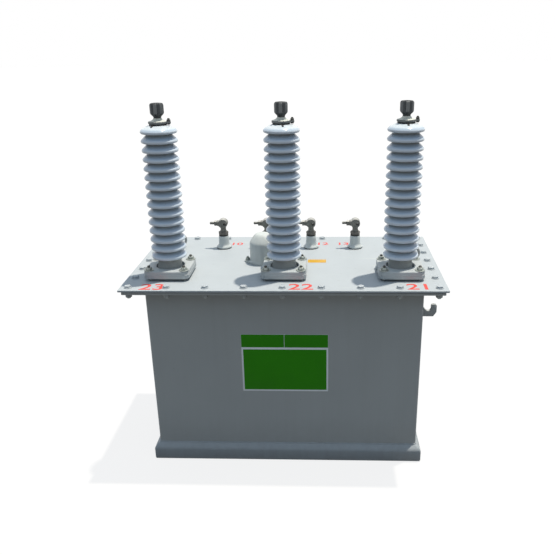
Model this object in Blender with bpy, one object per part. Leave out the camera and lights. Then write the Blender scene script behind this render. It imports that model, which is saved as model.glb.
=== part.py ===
"""Three-phase liquid-filled distribution transformer with bushings on its cover.

Metres, +Z up. The origin is on the ground under the middle of the tank, and the front faces -Y.
"""

import math

import bmesh
import bpy
from mathutils import Matrix

MM = 0.001
GAP = 0.3 * MM  # play between two pieces that touch
HOLE_PLAY = 1 * MM  # bolt, stud or neck to the hole it passes through
TURN_PLAY = 0.6 * MM  # turning shaft or bolt to its bore
BUSHING_PLAY = 2 * MM  # bushing to the hole or recess around it
SEAL_INSET = 1 * MM  # gasket edge inside the face it seals

# Tank and base
TANK_LENGTH = 872 * MM
TANK_DEPTH = 434 * MM
TANK_RIM = 630 * MM  # height of the tank's open top
TANK_WALL = 4 * MM
TANK_FLOOR = 6 * MM
TANK_CORNER = 8 * MM
BASE_LEDGE = 16.5 * MM  # how far the base stands out from the tank
BASE_SIDE = 47 * MM  # height of the base's upright side
BASE_RISE = 12 * MM  # climb of the sloping top to the tank wall
BASE_PLATE = 6 * MM
BASE_BEND = 6 * MM
BASE_CORNER = 4 * MM
BASE_FOOT = 40 * MM  # width of the turned-in foot that the tank stands on

# Rim flange, gasket and cover
COVER_OVERHANG = 64 * MM
COVER_PLATE = 6 * MM
RIM_INSET = 8 * MM
RIM_PLATE = 8 * MM
GASKET_PLATE = 3.4 * MM
GASKET_WIDTH = 24 * MM
BOLT_INSET = 26 * MM
BOLTS_LONG_SIDE = 9
BOLTS_SHORT_SIDE = 7

# Cover bolts
BOLT_RADIUS = 6 * MM
BOLT_ACROSS = 18 * MM
BOLT_HEAD = 7.5 * MM
BOLT_TAIL = 5 * MM
NUT_HEIGHT = 10 * MM

# Lifting hooks, sizes measured out from the tank wall and down from the rim flange
HOOK_PLATE = 12 * MM
HOOK_OFFSET = 35 * MM  # right hook ahead of the tank's middle, left hook behind it
HOOK_REACH = 73.6 * MM
HOOK_ARM = 18.7 * MM  # width of the upturned tip
HOOK_NOTCH = 10 * MM  # radius of the notch
HOOK_DROP = 125.8 * MM  # rim flange to the tip's top
HOOK_ARM_HEIGHT = 24.1 * MM  # notch floor to the tip's top
HOOK_SOLE = 20.1 * MM  # metal below the notch
HOOK_BACK_SLOPE = 50  # degrees, of the edge that climbs from the notch to the tank wall
HOOK_CHAMFER = 10.8 * MM
HOOK_CHAMFER_RISE = 15.7 * MM
HOOK_ROUND = 6 * MM

# High-voltage bushings, heights above the cover
HV_END_MARGIN = 69 * MM  # outer bushing axis to the tank's end
HV_FRONT_MARGIN = 82 * MM  # bushing row to the tank's front
HV_SHEDS = 15
HV_FIRST_SHED = 67.8 * MM
HV_SHED_PITCH = 27.6 * MM
HV_SHED_RADIUS = 55 * MM
HV_SHED_LIP = 5.5 * MM
HV_CORE_RADIUS = 37 * MM
HV_TOP_HEIGHT = 471.8 * MM
HV_TOP_RADIUS = 30 * MM
HV_NECK_RADIUS = 33 * MM
HV_COLLAR_GAP = 4 * MM  # collar to the clamp flange's bore
HV_SHOULDER_RADIUS = 49 * MM
HV_SHOULDER_HEIGHT = 16.7 * MM
HV_TAIL_RADIUS = 28 * MM
HV_TAIL_LENGTH = 84 * MM
HV_GASKET = 4.7 * MM
HV_FLANGE_SIDE = 143 * MM
HV_FLANGE_CORNER = 18 * MM
HV_FLANGE_PLATE = 25 * MM
HV_FLANGE_LIP = 10.7 * MM
HV_LEDGE_WIDTH = 5 * MM  # clamp flange's hold on the porcelain's shoulder
HV_STUD_OFFSET = 55 * MM
HV_STUD_RADIUS = 5 * MM
HV_STUD_TAIL = 7 * MM
HV_NUT_ACROSS = 17 * MM
HV_NUT_HEIGHT = 8 * MM

# Cap, terminal head and conductor of a high-voltage bushing
ROD_RADIUS = 6 * MM
ROD_CLEARANCE = 0.9 * MM
ROD_INTO_HEAD = 25 * MM
ROD_BELOW_TAIL = 14 * MM
CAP_SEAT_RADIUS = 25 * MM
CAP_SEAT = 4 * MM
CAP_RIM_RADIUS = 28.5 * MM
CAP_RIM = 7 * MM
CAP_HEIGHT = 20.2 * MM
HEAD_NECK_RADIUS = 11.8 * MM
HEAD_NECK = 4 * MM
HEAD_RADIUS = 20.5 * MM
HEAD_HEIGHT = 43 * MM
HEAD_TAPER = 10 * MM
HEAD_GROOVES = 6
HEAD_GROOVE_DEPTH = 3.5 * MM
LUG_LENGTH = 10.5 * MM  # how far the vent screw's lug stands out from the cap's rim
LUG_WIDTH = 13 * MM
LUG_MARGIN = 1 * MM  # lug thinner than the rim, above and below
VENT_END_MARGIN = 6.5 * MM
VENT_ACROSS = 10 * MM
VENT_HEX = 7 * MM
VENT_STEM_RADIUS = 2.5 * MM
VENT_STEM = 1.5 * MM
VENT_HEAD_ACROSS = 7 * MM
VENT_HEAD = 3 * MM

# Low-voltage bushings, heights above the cover
LV_COUNT = 4
LV_PITCH = 158 * MM
LV_BACK_MARGIN = 69 * MM  # bushing row to the tank's back
LV_FLANGE_RADIUS = 27 * MM
LV_FLANGE_EDGE = 6 * MM
LV_BEVEL = 7 * MM
LV_BODY_RADIUS = 18 * MM
LV_TOP_HEIGHT = 46 * MM
LV_TAIL_RADIUS = 12 * MM
LV_TAIL_LENGTH = 39 * MM
LV_STUD_RADIUS = 7 * MM
LV_STUD_BELOW_TAIL = 15 * MM
LV_NUT_ACROSS = 30 * MM
LV_NUT_HEIGHT = 16 * MM
LV_NECK_RADIUS = 10 * MM
LV_EYE_HEIGHT = 92 * MM
LV_EYE_RADIUS = 16.5 * MM
LV_EYE_WIDTH = 30 * MM
LV_BORE_WIDTH = 8.4 * MM  # oval hole for the conductor
LV_BORE_HEIGHT = 12 * MM
LV_BORE_OFFSET = 7.5 * MM  # hole to the eye's centre, away from the clamp bolt
LV_BOLT_RADIUS = 5 * MM
LV_BOLT_REACH = 47 * MM  # eye centre to the bolt's free end
LV_BOLT_ACROSS = 17 * MM
LV_BOLT_HEX = 11 * MM
LV_BOLT_HEX_GAP = 4 * MM

# Tap changer and its hood, heights above the cover
HOOD_RADIUS = 45 * MM
HOOD_HEIGHT = 100 * MM
HOOD_WALL = 3 * MM
HOOD_FLANGE = 6 * MM
HOOD_SHOULDER = 18 * MM  # width of the sloping shoulder
HOOD_SHOULDER_RISE = 24 * MM
HOOD_CROWN = 5 * MM  # edge around the flat top
HOOD_GAP = 10.5 * MM  # hood to the clamp flange in front of it
EAR_MARGIN = 9 * MM  # hood side to the ear's screw
EAR_RADIUS = 11 * MM
HOOD_SCREW_RADIUS = 4 * MM
HOOD_SCREW_ACROSS = 13 * MM
HOOD_SCREW_HEAD = 5.5 * MM
SWITCH_RADIUS = 32 * MM
SWITCH_LENGTH = 66 * MM
SWITCH_NECK_RADIUS = 12 * MM
SWITCH_NECK = 8 * MM
SHAFT_RADIUS = 5 * MM
SHAFT_DEPTH = 40 * MM
KNOB_RADIUS = 15 * MM
KNOB_NOSE = 30 * MM
KNOB_HEIGHT = 20 * MM
DIAL_MARGIN = 4 * MM  # dial edge to the hood's inside
DIAL_PLATE = 2 * MM

# Core and windings
CORE_FEET = 40 * MM  # core bottom above the tank floor
CORE_TOP_GAP = 14 * MM  # core top to the high-voltage bushing tails
CORE_LIMB = 96 * MM
CORE_STACK = 110 * MM
COIL_END_GAP = 48 * MM  # end coil to the tank wall
COIL_PHASE_GAP = 20 * MM
COIL_LIMB_GAP = 3 * MM
COIL_DUCT = 6 * MM
LV_COIL_WALL = 14 * MM
FRAME_PLATE = 10 * MM
FRAME_BAR = 70 * MM  # height of a core frame's bar across a yoke
FRAME_YOKE_MARGIN = 13 * MM
FRAME_OVERHANG = 26 * MM  # frame end beyond the end coil
FRAME_TIE = 16 * MM  # width of a core frame's upright ends
FRAME_TIE_BAR = 6 * MM  # radius of the bars that tie the frame's two sides together
LEAD_RADIUS = 3.5 * MM
LEAD_BEND = 18 * MM  # straight length before a lead's first bend

# Cover eyes, drain valve, earthing pad and front label
EYE_RADIUS = 19 * MM
EYE_BAR = 6 * MM
EYE_COLLAR_RADIUS = 15 * MM
EYE_COLLAR = 9 * MM
EYE_LEFT_MARGIN = 38 * MM
EYE_BACK_MARGIN = 61 * MM
EYE_RIGHT_MARGIN = 12 * MM
DRAIN_END_MARGIN = 136 * MM
DRAIN_HEIGHT = 100 * MM
DRAIN_HOLE = 9 * MM
DRAIN_BOSS_RADIUS = 20 * MM
DRAIN_BOSS = 10 * MM
DRAIN_BODY_RADIUS = 15 * MM
DRAIN_BODY = 28 * MM
DRAIN_SPOUT_RADIUS = 12 * MM
DRAIN_SPOUT = 16 * MM
DRAIN_MOUTH_RADIUS = 8.5 * MM
DRAIN_MOUTH = 14 * MM
DRAIN_BONNET_RADIUS = 7.5 * MM
DRAIN_BONNET = 7 * MM  # how far the bonnet stands above the body
LEVER_LENGTH = 48 * MM
LEVER_HUB_RADIUS = 9 * MM
LEVER_END_RADIUS = 6 * MM
LEVER_PLATE = 4 * MM
LEVER_NUT_ACROSS = 10 * MM
LEVER_NUT = 5 * MM
EARTH_END_MARGIN = 136 * MM
EARTH_HEIGHT = 115 * MM
EARTH_SIDE = 50 * MM
EARTH_PLATE = 9 * MM
EARTH_HOLE = 5.5 * MM
EARTH_HOLE_DEPTH = 7 * MM
LABEL_WIDTH = 280 * MM
LABEL_HEIGHT = 206 * MM
LABEL_DROP = 156 * MM  # rim flange to the label's top
LABEL_PLATE = 0.6 * MM

# Facets of round shapes
CORNER_STEPS = 4
PORCELAIN_SIDES = 12
ROUND_SIDES = 12
COIL_SIDES = 14
HEX = 6

# Levels worked out from the sizes above
TANK_BOTTOM = BASE_PLATE + GAP
TANK_INSIDE = TANK_BOTTOM + TANK_FLOOR
RIM_UNDERSIDE = TANK_RIM - RIM_PLATE
GASKET_BOTTOM = TANK_RIM + GAP
COVER_UNDERSIDE = GASKET_BOTTOM + GASKET_PLATE + GAP
COVER_TOP = COVER_UNDERSIDE + COVER_PLATE
HV_SEAT = GAP + HV_GASKET + GAP
HV_LEDGE = HV_SEAT + HV_SHOULDER_HEIGHT + GAP
HV_FLANGE_TOP = HV_LEDGE + HV_FLANGE_LIP
HV_TAIL_END = -COVER_PLATE - HV_TAIL_LENGTH
CAP_TOP = HV_TOP_HEIGHT + GAP + CAP_HEIGHT
HEAD_BOTTOM = CAP_TOP + GAP
LV_SEAT = GAP
LV_STUD_END = -COVER_PLATE - LV_TAIL_LENGTH - LV_STUD_BELOW_TAIL
CORE_BOTTOM = TANK_INSIDE + CORE_FEET
CORE_TOP = COVER_TOP + HV_TAIL_END - CORE_TOP_GAP
COIL_BOTTOM = CORE_BOTTOM + CORE_LIMB + GAP
COIL_TOP = CORE_TOP - CORE_LIMB - GAP

# Radii worked out from the sizes above
HV_FLANGE_BORE = HV_SHOULDER_RADIUS - HV_LEDGE_WIDTH
HV_COLLAR_RADIUS = HV_FLANGE_BORE - HV_COLLAR_GAP
LUG_REACH = CAP_RIM_RADIUS + LUG_LENGTH
EAR_OFFSET = HOOD_RADIUS + EAR_MARGIN
DIAL_RADIUS = HOOD_RADIUS - HOOD_WALL - DIAL_MARGIN

# Places worked out from the sizes above
TANK_X = TANK_LENGTH / 2
TANK_Y = TANK_DEPTH / 2
COVER_X = TANK_X + COVER_OVERHANG
COVER_Y = TANK_Y + COVER_OVERHANG
BOLT_X = COVER_X - BOLT_INSET
BOLT_Y = COVER_Y - BOLT_INSET
HV_ROW = -TANK_Y + HV_FRONT_MARGIN
HV_PITCH = TANK_X - HV_END_MARGIN
HV_PLACES = [(HV_PITCH, HV_ROW), (0.0, HV_ROW), (-HV_PITCH, HV_ROW)]
LV_ROW = TANK_Y - LV_BACK_MARGIN
LV_PLACES = [(LV_PITCH * (i - (LV_COUNT - 1) / 2), LV_ROW) for i in range(LV_COUNT)]
TAP_X = LV_PLACES[1][0]
TAP_Y = HV_ROW + HV_FLANGE_SIDE / 2 + HOOD_GAP + HOOD_RADIUS
COIL_PITCH = (TANK_LENGTH - 2 * TANK_WALL - 2 * COIL_END_GAP + COIL_PHASE_GAP) / 3
COIL_RADIUS = (COIL_PITCH - COIL_PHASE_GAP) / 2
COIL_PLACES = [COIL_PITCH, 0.0, -COIL_PITCH]
LV_COIL_BORE = math.hypot(CORE_LIMB, CORE_STACK) / 2 + COIL_LIMB_GAP
LV_COIL_RADIUS = LV_COIL_BORE + LV_COIL_WALL
LV_COIL_MIDDLE = (LV_COIL_BORE + LV_COIL_RADIUS) / 2
HV_COIL_BORE = LV_COIL_RADIUS + COIL_DUCT
HV_COIL_MIDDLE = (HV_COIL_BORE + COIL_RADIUS) / 2
EYE_PLACES = [(-TANK_X + EYE_LEFT_MARGIN, TANK_Y - EYE_BACK_MARGIN), (TANK_X - EYE_RIGHT_MARGIN, 0.0)]
DRAIN_X = -TANK_X + DRAIN_END_MARGIN
EARTH_X = TANK_X - EARTH_END_MARGIN

for old in list(bpy.data.objects):
    bpy.data.objects.remove(old)


# Finishes


def finish(name, colour, roughness, metallic=0.0):
    """A plain finish with one colour, roughness and metallic value."""
    material = bpy.data.materials.new(name)
    material.use_nodes = True
    shader = material.node_tree.nodes["Principled BSDF"]
    shader.inputs["Base Color"].default_value = (*colour, 1.0)
    shader.inputs["Roughness"].default_value = roughness
    shader.inputs["Metallic"].default_value = metallic
    material.diffuse_color = (*colour, 1.0)
    return material


GREY_PAINT = finish("grey_paint", (0.39, 0.42, 0.42), 0.45)
GREY_GLAZE = finish("grey_glaze", (0.34, 0.39, 0.44), 0.15)
PALE_GLAZE = finish("pale_glaze", (0.56, 0.60, 0.60), 0.2)
BLACK_RUBBER = finish("black_rubber", (0.02, 0.02, 0.02), 0.7)
TINNED_BRONZE = finish("tinned_bronze", (0.33, 0.33, 0.32), 0.4, 1.0)
DARK_BRONZE = finish("dark_bronze", (0.09, 0.10, 0.11), 0.5, 0.8)
CAST_ALUMINIUM = finish("cast_aluminium", (0.42, 0.44, 0.44), 0.5)
CORE_STEEL = finish("core_steel", (0.18, 0.19, 0.21), 0.5, 1.0)
BARE_STEEL = finish("bare_steel", (0.33, 0.33, 0.32), 0.45, 1.0)
COPPER = finish("copper", (0.72, 0.38, 0.22), 0.35, 1.0)
BRASS = finish("brass", (0.60, 0.47, 0.22), 0.35, 1.0)
PAPER_WRAP = finish("paper_wrapped_wire", (0.45, 0.32, 0.18), 0.8)
MOULDED_RESIN = finish("moulded_resin", (0.10, 0.06, 0.04), 0.5)
GREEN_VINYL = finish("green_vinyl", (0.03, 0.20, 0.02), 0.4)


# Shape functions


def circle(radius, sides, centre=(0.0, 0.0)):
    """Corners of a regular polygon, anticlockwise."""
    turns = [2 * math.pi * i / sides for i in range(sides)]
    return [(centre[0] + radius * math.cos(a), centre[1] + radius * math.sin(a)) for a in turns]


def arc(centre, radius, start, end, steps):
    """Points on an arc from one angle to another, in degrees."""
    angles = [math.radians(start + (end - start) * i / steps) for i in range(steps + 1)]
    return [(centre[0] + radius * math.cos(a), centre[1] + radius * math.sin(a)) for a in angles]


def rectangle(half_x, half_y):
    """Corners of a rectangle about the origin, anticlockwise."""
    return [(half_x, half_y), (-half_x, half_y), (-half_x, -half_y), (half_x, -half_y)]


def rounded_rectangle(half_x, half_y, radius):
    """Outline of a rectangle with round corners, anticlockwise."""
    points = []
    for quarter, (x, y) in enumerate(rectangle(half_x - radius, half_y - radius)):
        points += arc((x, y), radius, 90 * quarter, 90 * quarter + 90, CORNER_STEPS)
    return points


def hexagon(across, centre=(0.0, 0.0)):
    """A hexagon of the given width across its flats."""
    return circle(across / 2 / math.cos(math.pi / HEX), HEX, centre)


def ring(bm, outline, z):
    """The corners of an outline as new points at one level."""
    return [bm.verts.new((x, y, z)) for x, y in outline]


def wall(bm, *rings):
    """Faces between each ring and the next."""
    for low, high in zip(rings, rings[1:]):
        for i in range(len(low)):
            bm.faces.new((low[i - 1], low[i], high[i], high[i - 1]))


def fill(bm, *rings):
    """A flat face inside the first ring, with the other rings as holes in it."""
    if len(rings) == 1:
        bm.faces.new(rings[0])
        return
    edges = [bm.edges.get((loop[i - 1], loop[i])) for loop in rings for i in range(len(loop))]
    bmesh.ops.triangle_fill(bm, use_beauty=True, edges=edges)


def solid(bm, levels):
    """A solid through outlines at rising or turning levels, closed at both ends."""
    rings = [ring(bm, outline, z) for outline, z in levels]
    wall(bm, *rings)
    fill(bm, rings[0])
    fill(bm, rings[-1])


def hollow(bm, levels):
    """A ring-shaped solid through outlines that lead back to the first one."""
    rings = [ring(bm, outline, z) for outline, z in levels]
    wall(bm, *rings, rings[0])


def turned(profile, sides, bored=False):
    """A turned shape from radius and height pairs."""
    bm = bmesh.new()
    levels = [(circle(radius, sides), z) for radius, z in profile]
    (hollow if bored else solid)(bm, levels)
    return bm


def boss(bm, levels):
    """A shape that stands on a plate's face, closed at its free end; gives the ring where it starts."""
    rings = [ring(bm, outline, z) for outline, z in levels]
    wall(bm, *rings)
    fill(bm, rings[-1])
    return rings[0]


def plate(bm, outline, holes, bottom, top, below=(), above=()):
    """A flat plate with straight holes, and with rings on its two faces where other shapes start."""
    loops = [(ring(bm, loop, bottom), ring(bm, loop, top)) for loop in [outline, *holes]]
    for low, high in loops:
        wall(bm, low, high)
    fill(bm, *[low for low, high in loops], *below)
    fill(bm, *[high for low, high in loops], *above)


def bolt_head(bm, place, start, seat, across, head, radius):
    """A shank from a plate's face up to a seat, with a hexagon head on it."""
    shank = circle(radius, HEX, place)
    body = hexagon(across, place)
    return boss(bm, [(shank, start), (shank, seat), (body, seat), (body, seat + head)])


def bolt_end(bm, place, start, across, height, radius, tail):
    """A hexagon nut on a plate's face with the bolt's end beyond it; lengths below zero lead down."""
    shank = circle(radius, HEX, place)
    body = hexagon(across, place)
    end = start + height
    return boss(bm, [(body, start), (body, end), (shank, end), (shank, end + tail)])


def upright(bm):
    """Turns a flat shape to stand on its lower edge, with its thickness along Y."""
    bmesh.ops.rotate(bm, verts=bm.verts, matrix=Matrix.Rotation(math.pi / 2, 3, "X"))
    return bm


def leftward(bm):
    """Turns an upright shape to lie along -X."""
    bmesh.ops.rotate(bm, verts=bm.verts, matrix=Matrix.Rotation(-math.pi / 2, 3, "Y"))
    return bm


def box(bm, low, high):
    """A block between two corners."""
    middle = [(a + b) / 2 for a, b in zip(low, high)]
    half_x, half_y = (high[0] - low[0]) / 2, (high[1] - low[1]) / 2
    outline = [(x + middle[0], y + middle[1]) for x, y in rectangle(half_x, half_y)]
    solid(bm, [(outline, low[2]), (outline, high[2])])


def mesh_from(name, bm):
    """A mesh from a shape, with its faces turned outwards."""
    bmesh.ops.recalc_face_normals(bm, faces=bm.faces)
    mesh = bpy.data.meshes.new(name)
    bm.to_mesh(mesh)
    bm.free()
    return mesh


def place_mesh(name, mesh, material, location=(0.0, 0.0, 0.0)):
    """A named object from a mesh, with its round faces shaded smooth and its origin at the location."""
    if not mesh.materials:
        mesh.materials.append(material)
        mesh.shade_smooth()
        mesh.set_sharp_from_angle(angle=math.radians(32))
    piece = bpy.data.objects.new(name, mesh)
    piece.location = location
    bpy.context.scene.collection.objects.link(piece)
    return piece


def add(name, bm, material, location=(0.0, 0.0, 0.0)):
    """A named object from a shape."""
    return place_mesh(name, mesh_from(name, bm), material, location)


def combined(name, bm, steps):
    """The mesh of a shape after Boolean steps, each an operation and another shape."""
    host = bpy.data.objects.new(name, mesh_from(name, bm))
    bpy.context.scene.collection.objects.link(host)
    tools = [host]
    for operation, shape in steps:
        tool = bpy.data.objects.new("tool", mesh_from("tool", shape))
        bpy.context.scene.collection.objects.link(tool)
        step = host.modifiers.new(operation, "BOOLEAN")
        step.operation = operation
        step.object = tool
        step.solver = "EXACT"
        tools.append(tool)
    bpy.context.view_layer.update()
    evaluated = host.evaluated_get(bpy.context.evaluated_depsgraph_get())
    mesh = bpy.data.meshes.new_from_object(evaluated)
    mesh.name = name
    for tool in tools:
        bpy.data.objects.remove(tool)
    return mesh


def lead(points):
    """A round lead of constant thickness along a route."""
    curve = bpy.data.curves.new("route", "CURVE")
    curve.dimensions = "3D"
    curve.bevel_depth = LEAD_RADIUS
    curve.bevel_resolution = 1
    curve.use_fill_caps = True
    spline = curve.splines.new("POLY")
    spline.points.add(len(points) - 1)
    for knot, point in zip(spline.points, points):
        knot.co = (*point, 1.0)
    guide = bpy.data.objects.new("route", curve)
    bpy.context.scene.collection.objects.link(guide)
    bpy.context.view_layer.update()
    tube = guide.evaluated_get(bpy.context.evaluated_depsgraph_get())
    bm = bmesh.new()
    bm.from_mesh(tube.to_mesh())
    tube.to_mesh_clear()
    bpy.data.objects.remove(guide)
    bmesh.ops.remove_doubles(bm, verts=bm.verts, dist=GAP / 100)
    return bm


# Base skirt: bent plate around the tank's foot, turned in below to carry the tank


def base_loop(offset, z):
    """The base's outline at one level, set out from the tank wall, mitred where it stands clear of it."""
    corner = BASE_CORNER if offset > GAP else max(TANK_CORNER + offset, BASE_CORNER)
    return (rounded_rectangle(TANK_X + offset, TANK_Y + offset, corner), z)


base = bmesh.new()
bend_start = (BASE_LEDGE, BASE_SIDE - BASE_BEND)
bend_end = (BASE_LEDGE - BASE_BEND / 2, BASE_SIDE)
hollow(
    base,
    [
        base_loop(BASE_LEDGE - BASE_FOOT, 0.0),
        base_loop(BASE_LEDGE, 0.0),
        base_loop(*bend_start),
        base_loop(*bend_end),
        base_loop(GAP, BASE_SIDE + BASE_RISE),
        base_loop(GAP, BASE_SIDE + BASE_RISE - BASE_PLATE),
        base_loop(BASE_LEDGE - BASE_PLATE, BASE_SIDE - BASE_BEND),
        base_loop(BASE_LEDGE - BASE_PLATE, BASE_PLATE),
        base_loop(BASE_LEDGE - BASE_FOOT, BASE_PLATE),
    ],
)
add("base_skirt", base, GREY_PAINT)

# Tank: open box of bent plate with a floor, and the drain hole low on its back
tank_outside = rounded_rectangle(TANK_X, TANK_Y, TANK_CORNER)
tank_inside = rounded_rectangle(TANK_X - TANK_WALL, TANK_Y - TANK_WALL, TANK_CORNER - TANK_WALL)
tank = bmesh.new()
solid(
    tank,
    [
        (tank_outside, TANK_BOTTOM),
        (tank_outside, TANK_RIM),
        (tank_inside, TANK_RIM),
        (tank_inside, TANK_INSIDE),
    ],
)
drain_drill = turned([(DRAIN_HOLE, -3 * TANK_WALL), (DRAIN_HOLE, 3 * TANK_WALL)], ROUND_SIDES)
upright(drain_drill)
bmesh.ops.translate(drain_drill, verts=drain_drill.verts, vec=(DRAIN_X, TANK_Y, DRAIN_HEIGHT))
place_mesh("tank_body", combined("tank_body", tank, [("DIFFERENCE", drain_drill)]), GREY_PAINT)

# Earthing pad: steel block welded low on the tank's back and drilled for one bolt
pad = bmesh.new()
pad_half = EARTH_SIDE / 2
box(pad, (-pad_half, GAP - EARTH_PLATE, -pad_half), (pad_half, 0.0, pad_half))
pad_drill = turned([(EARTH_HOLE, -EARTH_HOLE_DEPTH), (EARTH_HOLE, EARTH_HOLE_DEPTH)], ROUND_SIDES)
earth_pad = combined("earth_pad", pad, [("DIFFERENCE", upright(pad_drill))])
place_mesh("earth_pad", earth_pad, BARE_STEEL, (EARTH_X, TANK_Y + EARTH_PLATE, EARTH_HEIGHT))

# Bolt places: corners once, then between them along each side
bolt_xs = [BOLT_X * (2 * i / (BOLTS_LONG_SIDE - 1) - 1) for i in range(BOLTS_LONG_SIDE)]
bolt_ys = [BOLT_Y * (2 * i / (BOLTS_SHORT_SIDE - 1) - 1) for i in range(BOLTS_SHORT_SIDE)]
bolt_places = [(x, side * BOLT_Y) for x in bolt_xs for side in (-1, 1)]
bolt_places += [(side * BOLT_X, y) for y in bolt_ys[1:-1] for side in (-1, 1)]
bolt_hole = BOLT_RADIUS + HOLE_PLAY

# Rim flange: flat bar welded around the tank's top, with the bolts and nuts that hold the cover
rim = bmesh.new()
rim_outside = rectangle(COVER_X - RIM_INSET, COVER_Y - RIM_INSET)
rim_inside = rounded_rectangle(TANK_X + GAP, TANK_Y + GAP, TANK_CORNER + GAP)
head_seat = COVER_TOP + GAP
heads = []
nuts = []
for bolt_place in bolt_places:
    heads.append(bolt_head(rim, bolt_place, TANK_RIM, head_seat, BOLT_ACROSS, BOLT_HEAD, BOLT_RADIUS))
    nuts.append(
        bolt_end(rim, bolt_place, RIM_UNDERSIDE, BOLT_ACROSS, -NUT_HEIGHT, BOLT_RADIUS, -BOLT_TAIL)
    )
plate(rim, rim_outside, [rim_inside], RIM_UNDERSIDE, TANK_RIM, below=nuts, above=heads)
add("tank_flange", rim, GREY_PAINT)

# Cover gasket: rubber strip inside the row of bolts
gasket = bmesh.new()
gasket_edge = BOLT_INSET + bolt_hole + GAP
plate(
    gasket,
    rectangle(COVER_X - gasket_edge, COVER_Y - gasket_edge),
    [rectangle(COVER_X - gasket_edge - GASKET_WIDTH, COVER_Y - gasket_edge - GASKET_WIDTH)],
    GASKET_BOTTOM,
    GASKET_BOTTOM + GASKET_PLATE,
)
add("cover_gasket", gasket, BLACK_RUBBER)

# Cover: flat plate drilled for its bolts, the bushings, the tap changer and the hood's screws
ear_places = [(TAP_X - EAR_OFFSET, TAP_Y), (TAP_X + EAR_OFFSET, TAP_Y)]
cover_holes = [circle(bolt_hole, HEX, place) for place in bolt_places]
cover_holes += [circle(HV_TAIL_RADIUS + BUSHING_PLAY, PORCELAIN_SIDES, place) for place in HV_PLACES]
cover_holes += [circle(LV_TAIL_RADIUS + BUSHING_PLAY, ROUND_SIDES, place) for place in LV_PLACES]
cover_holes += [circle(SWITCH_NECK_RADIUS + HOLE_PLAY, ROUND_SIDES, (TAP_X, TAP_Y))]
cover_holes += [circle(HOOD_SCREW_RADIUS + HOLE_PLAY, HEX, place) for place in ear_places]
cover = bmesh.new()
plate(cover, rectangle(COVER_X, COVER_Y), cover_holes, COVER_UNDERSIDE, COVER_TOP)
add("cover_plate", cover, GREY_PAINT)

# Lifting hooks: plates welded to the tank's ends, diagonally about its middle, with a notch for a sling
arm_inside = HOOK_REACH - HOOK_ARM
notch_middle = arm_inside - HOOK_NOTCH
arm_round = HOOK_ARM_HEIGHT - HOOK_ROUND
hook_outline = [(GAP, -HOOK_SOLE), (HOOK_REACH - HOOK_CHAMFER, -HOOK_SOLE)]
hook_outline += [(HOOK_REACH, -HOOK_SOLE + HOOK_CHAMFER_RISE)]
hook_outline += arc((HOOK_REACH - HOOK_ROUND, arm_round), HOOK_ROUND, 0, 90, 2)
hook_outline += arc((arm_inside + HOOK_ROUND, arm_round), HOOK_ROUND, 90, 180, 2)
hook_outline += arc((notch_middle, HOOK_NOTCH), HOOK_NOTCH, 0, -90 - HOOK_BACK_SLOPE, 8)
back_x, back_z = hook_outline[-1]
hook_outline += [(GAP, back_z + (back_x - GAP) * math.tan(math.radians(HOOK_BACK_SLOPE)))]
hook_floor = RIM_UNDERSIDE - HOOK_DROP - HOOK_ARM_HEIGHT
for side_name, side in (("left", -1), ("right", 1)):
    outline = [(side * (TANK_X + x), z) for x, z in hook_outline]
    hook = bmesh.new()
    plate(hook, outline, [], -HOOK_PLATE / 2, HOOK_PLATE / 2)
    add("lifting_hook_" + side_name, upright(hook), GREY_PAINT, (0.0, -side * HOOK_OFFSET, hook_floor))


# High-voltage bushing: ribbed porcelain clamped at a shoulder by a square flange with four studs


def shed_profile():
    """The ribs of the porcelain, from the lowest up."""
    points = []
    for i in range(HV_SHEDS):
        rim_height = HV_FIRST_SHED + i * HV_SHED_PITCH
        points.append((HV_CORE_RADIUS, rim_height - HV_SHED_LIP))
        points.append((HV_SHED_RADIUS - HV_SHED_LIP / 4, rim_height - HV_SHED_LIP))
        points.append((HV_SHED_RADIUS, rim_height))
    return points


hv_bore = ROD_RADIUS + ROD_CLEARANCE
hv_profile = [
    (hv_bore, HV_TAIL_END),
    (HV_TAIL_RADIUS, HV_TAIL_END),
    (HV_TAIL_RADIUS, HV_SEAT),
    (HV_SHOULDER_RADIUS, HV_SEAT),
    (HV_SHOULDER_RADIUS, HV_SEAT + HV_SHOULDER_HEIGHT),
    (HV_COLLAR_RADIUS, HV_SEAT + HV_SHOULDER_HEIGHT),
    (HV_NECK_RADIUS, (HV_FLANGE_TOP + HV_FIRST_SHED) / 2),
    *shed_profile(),
    (HV_TOP_RADIUS, HV_TOP_HEIGHT),
    (hv_bore, HV_TOP_HEIGHT),
]
hv_porcelain = mesh_from("hv_porcelain", turned(hv_profile, PORCELAIN_SIDES, bored=True))

flange = bmesh.new()
flange_outline = rounded_rectangle(HV_FLANGE_SIDE / 2, HV_FLANGE_SIDE / 2, HV_FLANGE_CORNER)
flange_bottom = HV_FLANGE_TOP - HV_FLANGE_PLATE
wide_bore = circle(HV_SHOULDER_RADIUS + BUSHING_PLAY, PORCELAIN_SIDES)
narrow_bore = circle(HV_FLANGE_BORE, PORCELAIN_SIDES)
bore = [
    ring(flange, wide_bore, flange_bottom),
    ring(flange, wide_bore, HV_LEDGE),
    ring(flange, narrow_bore, HV_LEDGE),
    ring(flange, narrow_bore, HV_FLANGE_TOP),
]
wall(flange, *bore)
below = [bore[0]]
above = [bore[-1]]
for place in rectangle(HV_STUD_OFFSET, HV_STUD_OFFSET):
    stud = circle(HV_STUD_RADIUS, HEX, place)
    below.append(boss(flange, [(stud, flange_bottom), (stud, GAP)]))
    above.append(
        bolt_end(flange, place, HV_FLANGE_TOP, HV_NUT_ACROSS, HV_NUT_HEIGHT, HV_STUD_RADIUS, HV_STUD_TAIL)
    )
plate(flange, flange_outline, [], flange_bottom, HV_FLANGE_TOP, below, above)
hv_flange = mesh_from("hv_clamp_flange", flange)

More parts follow.
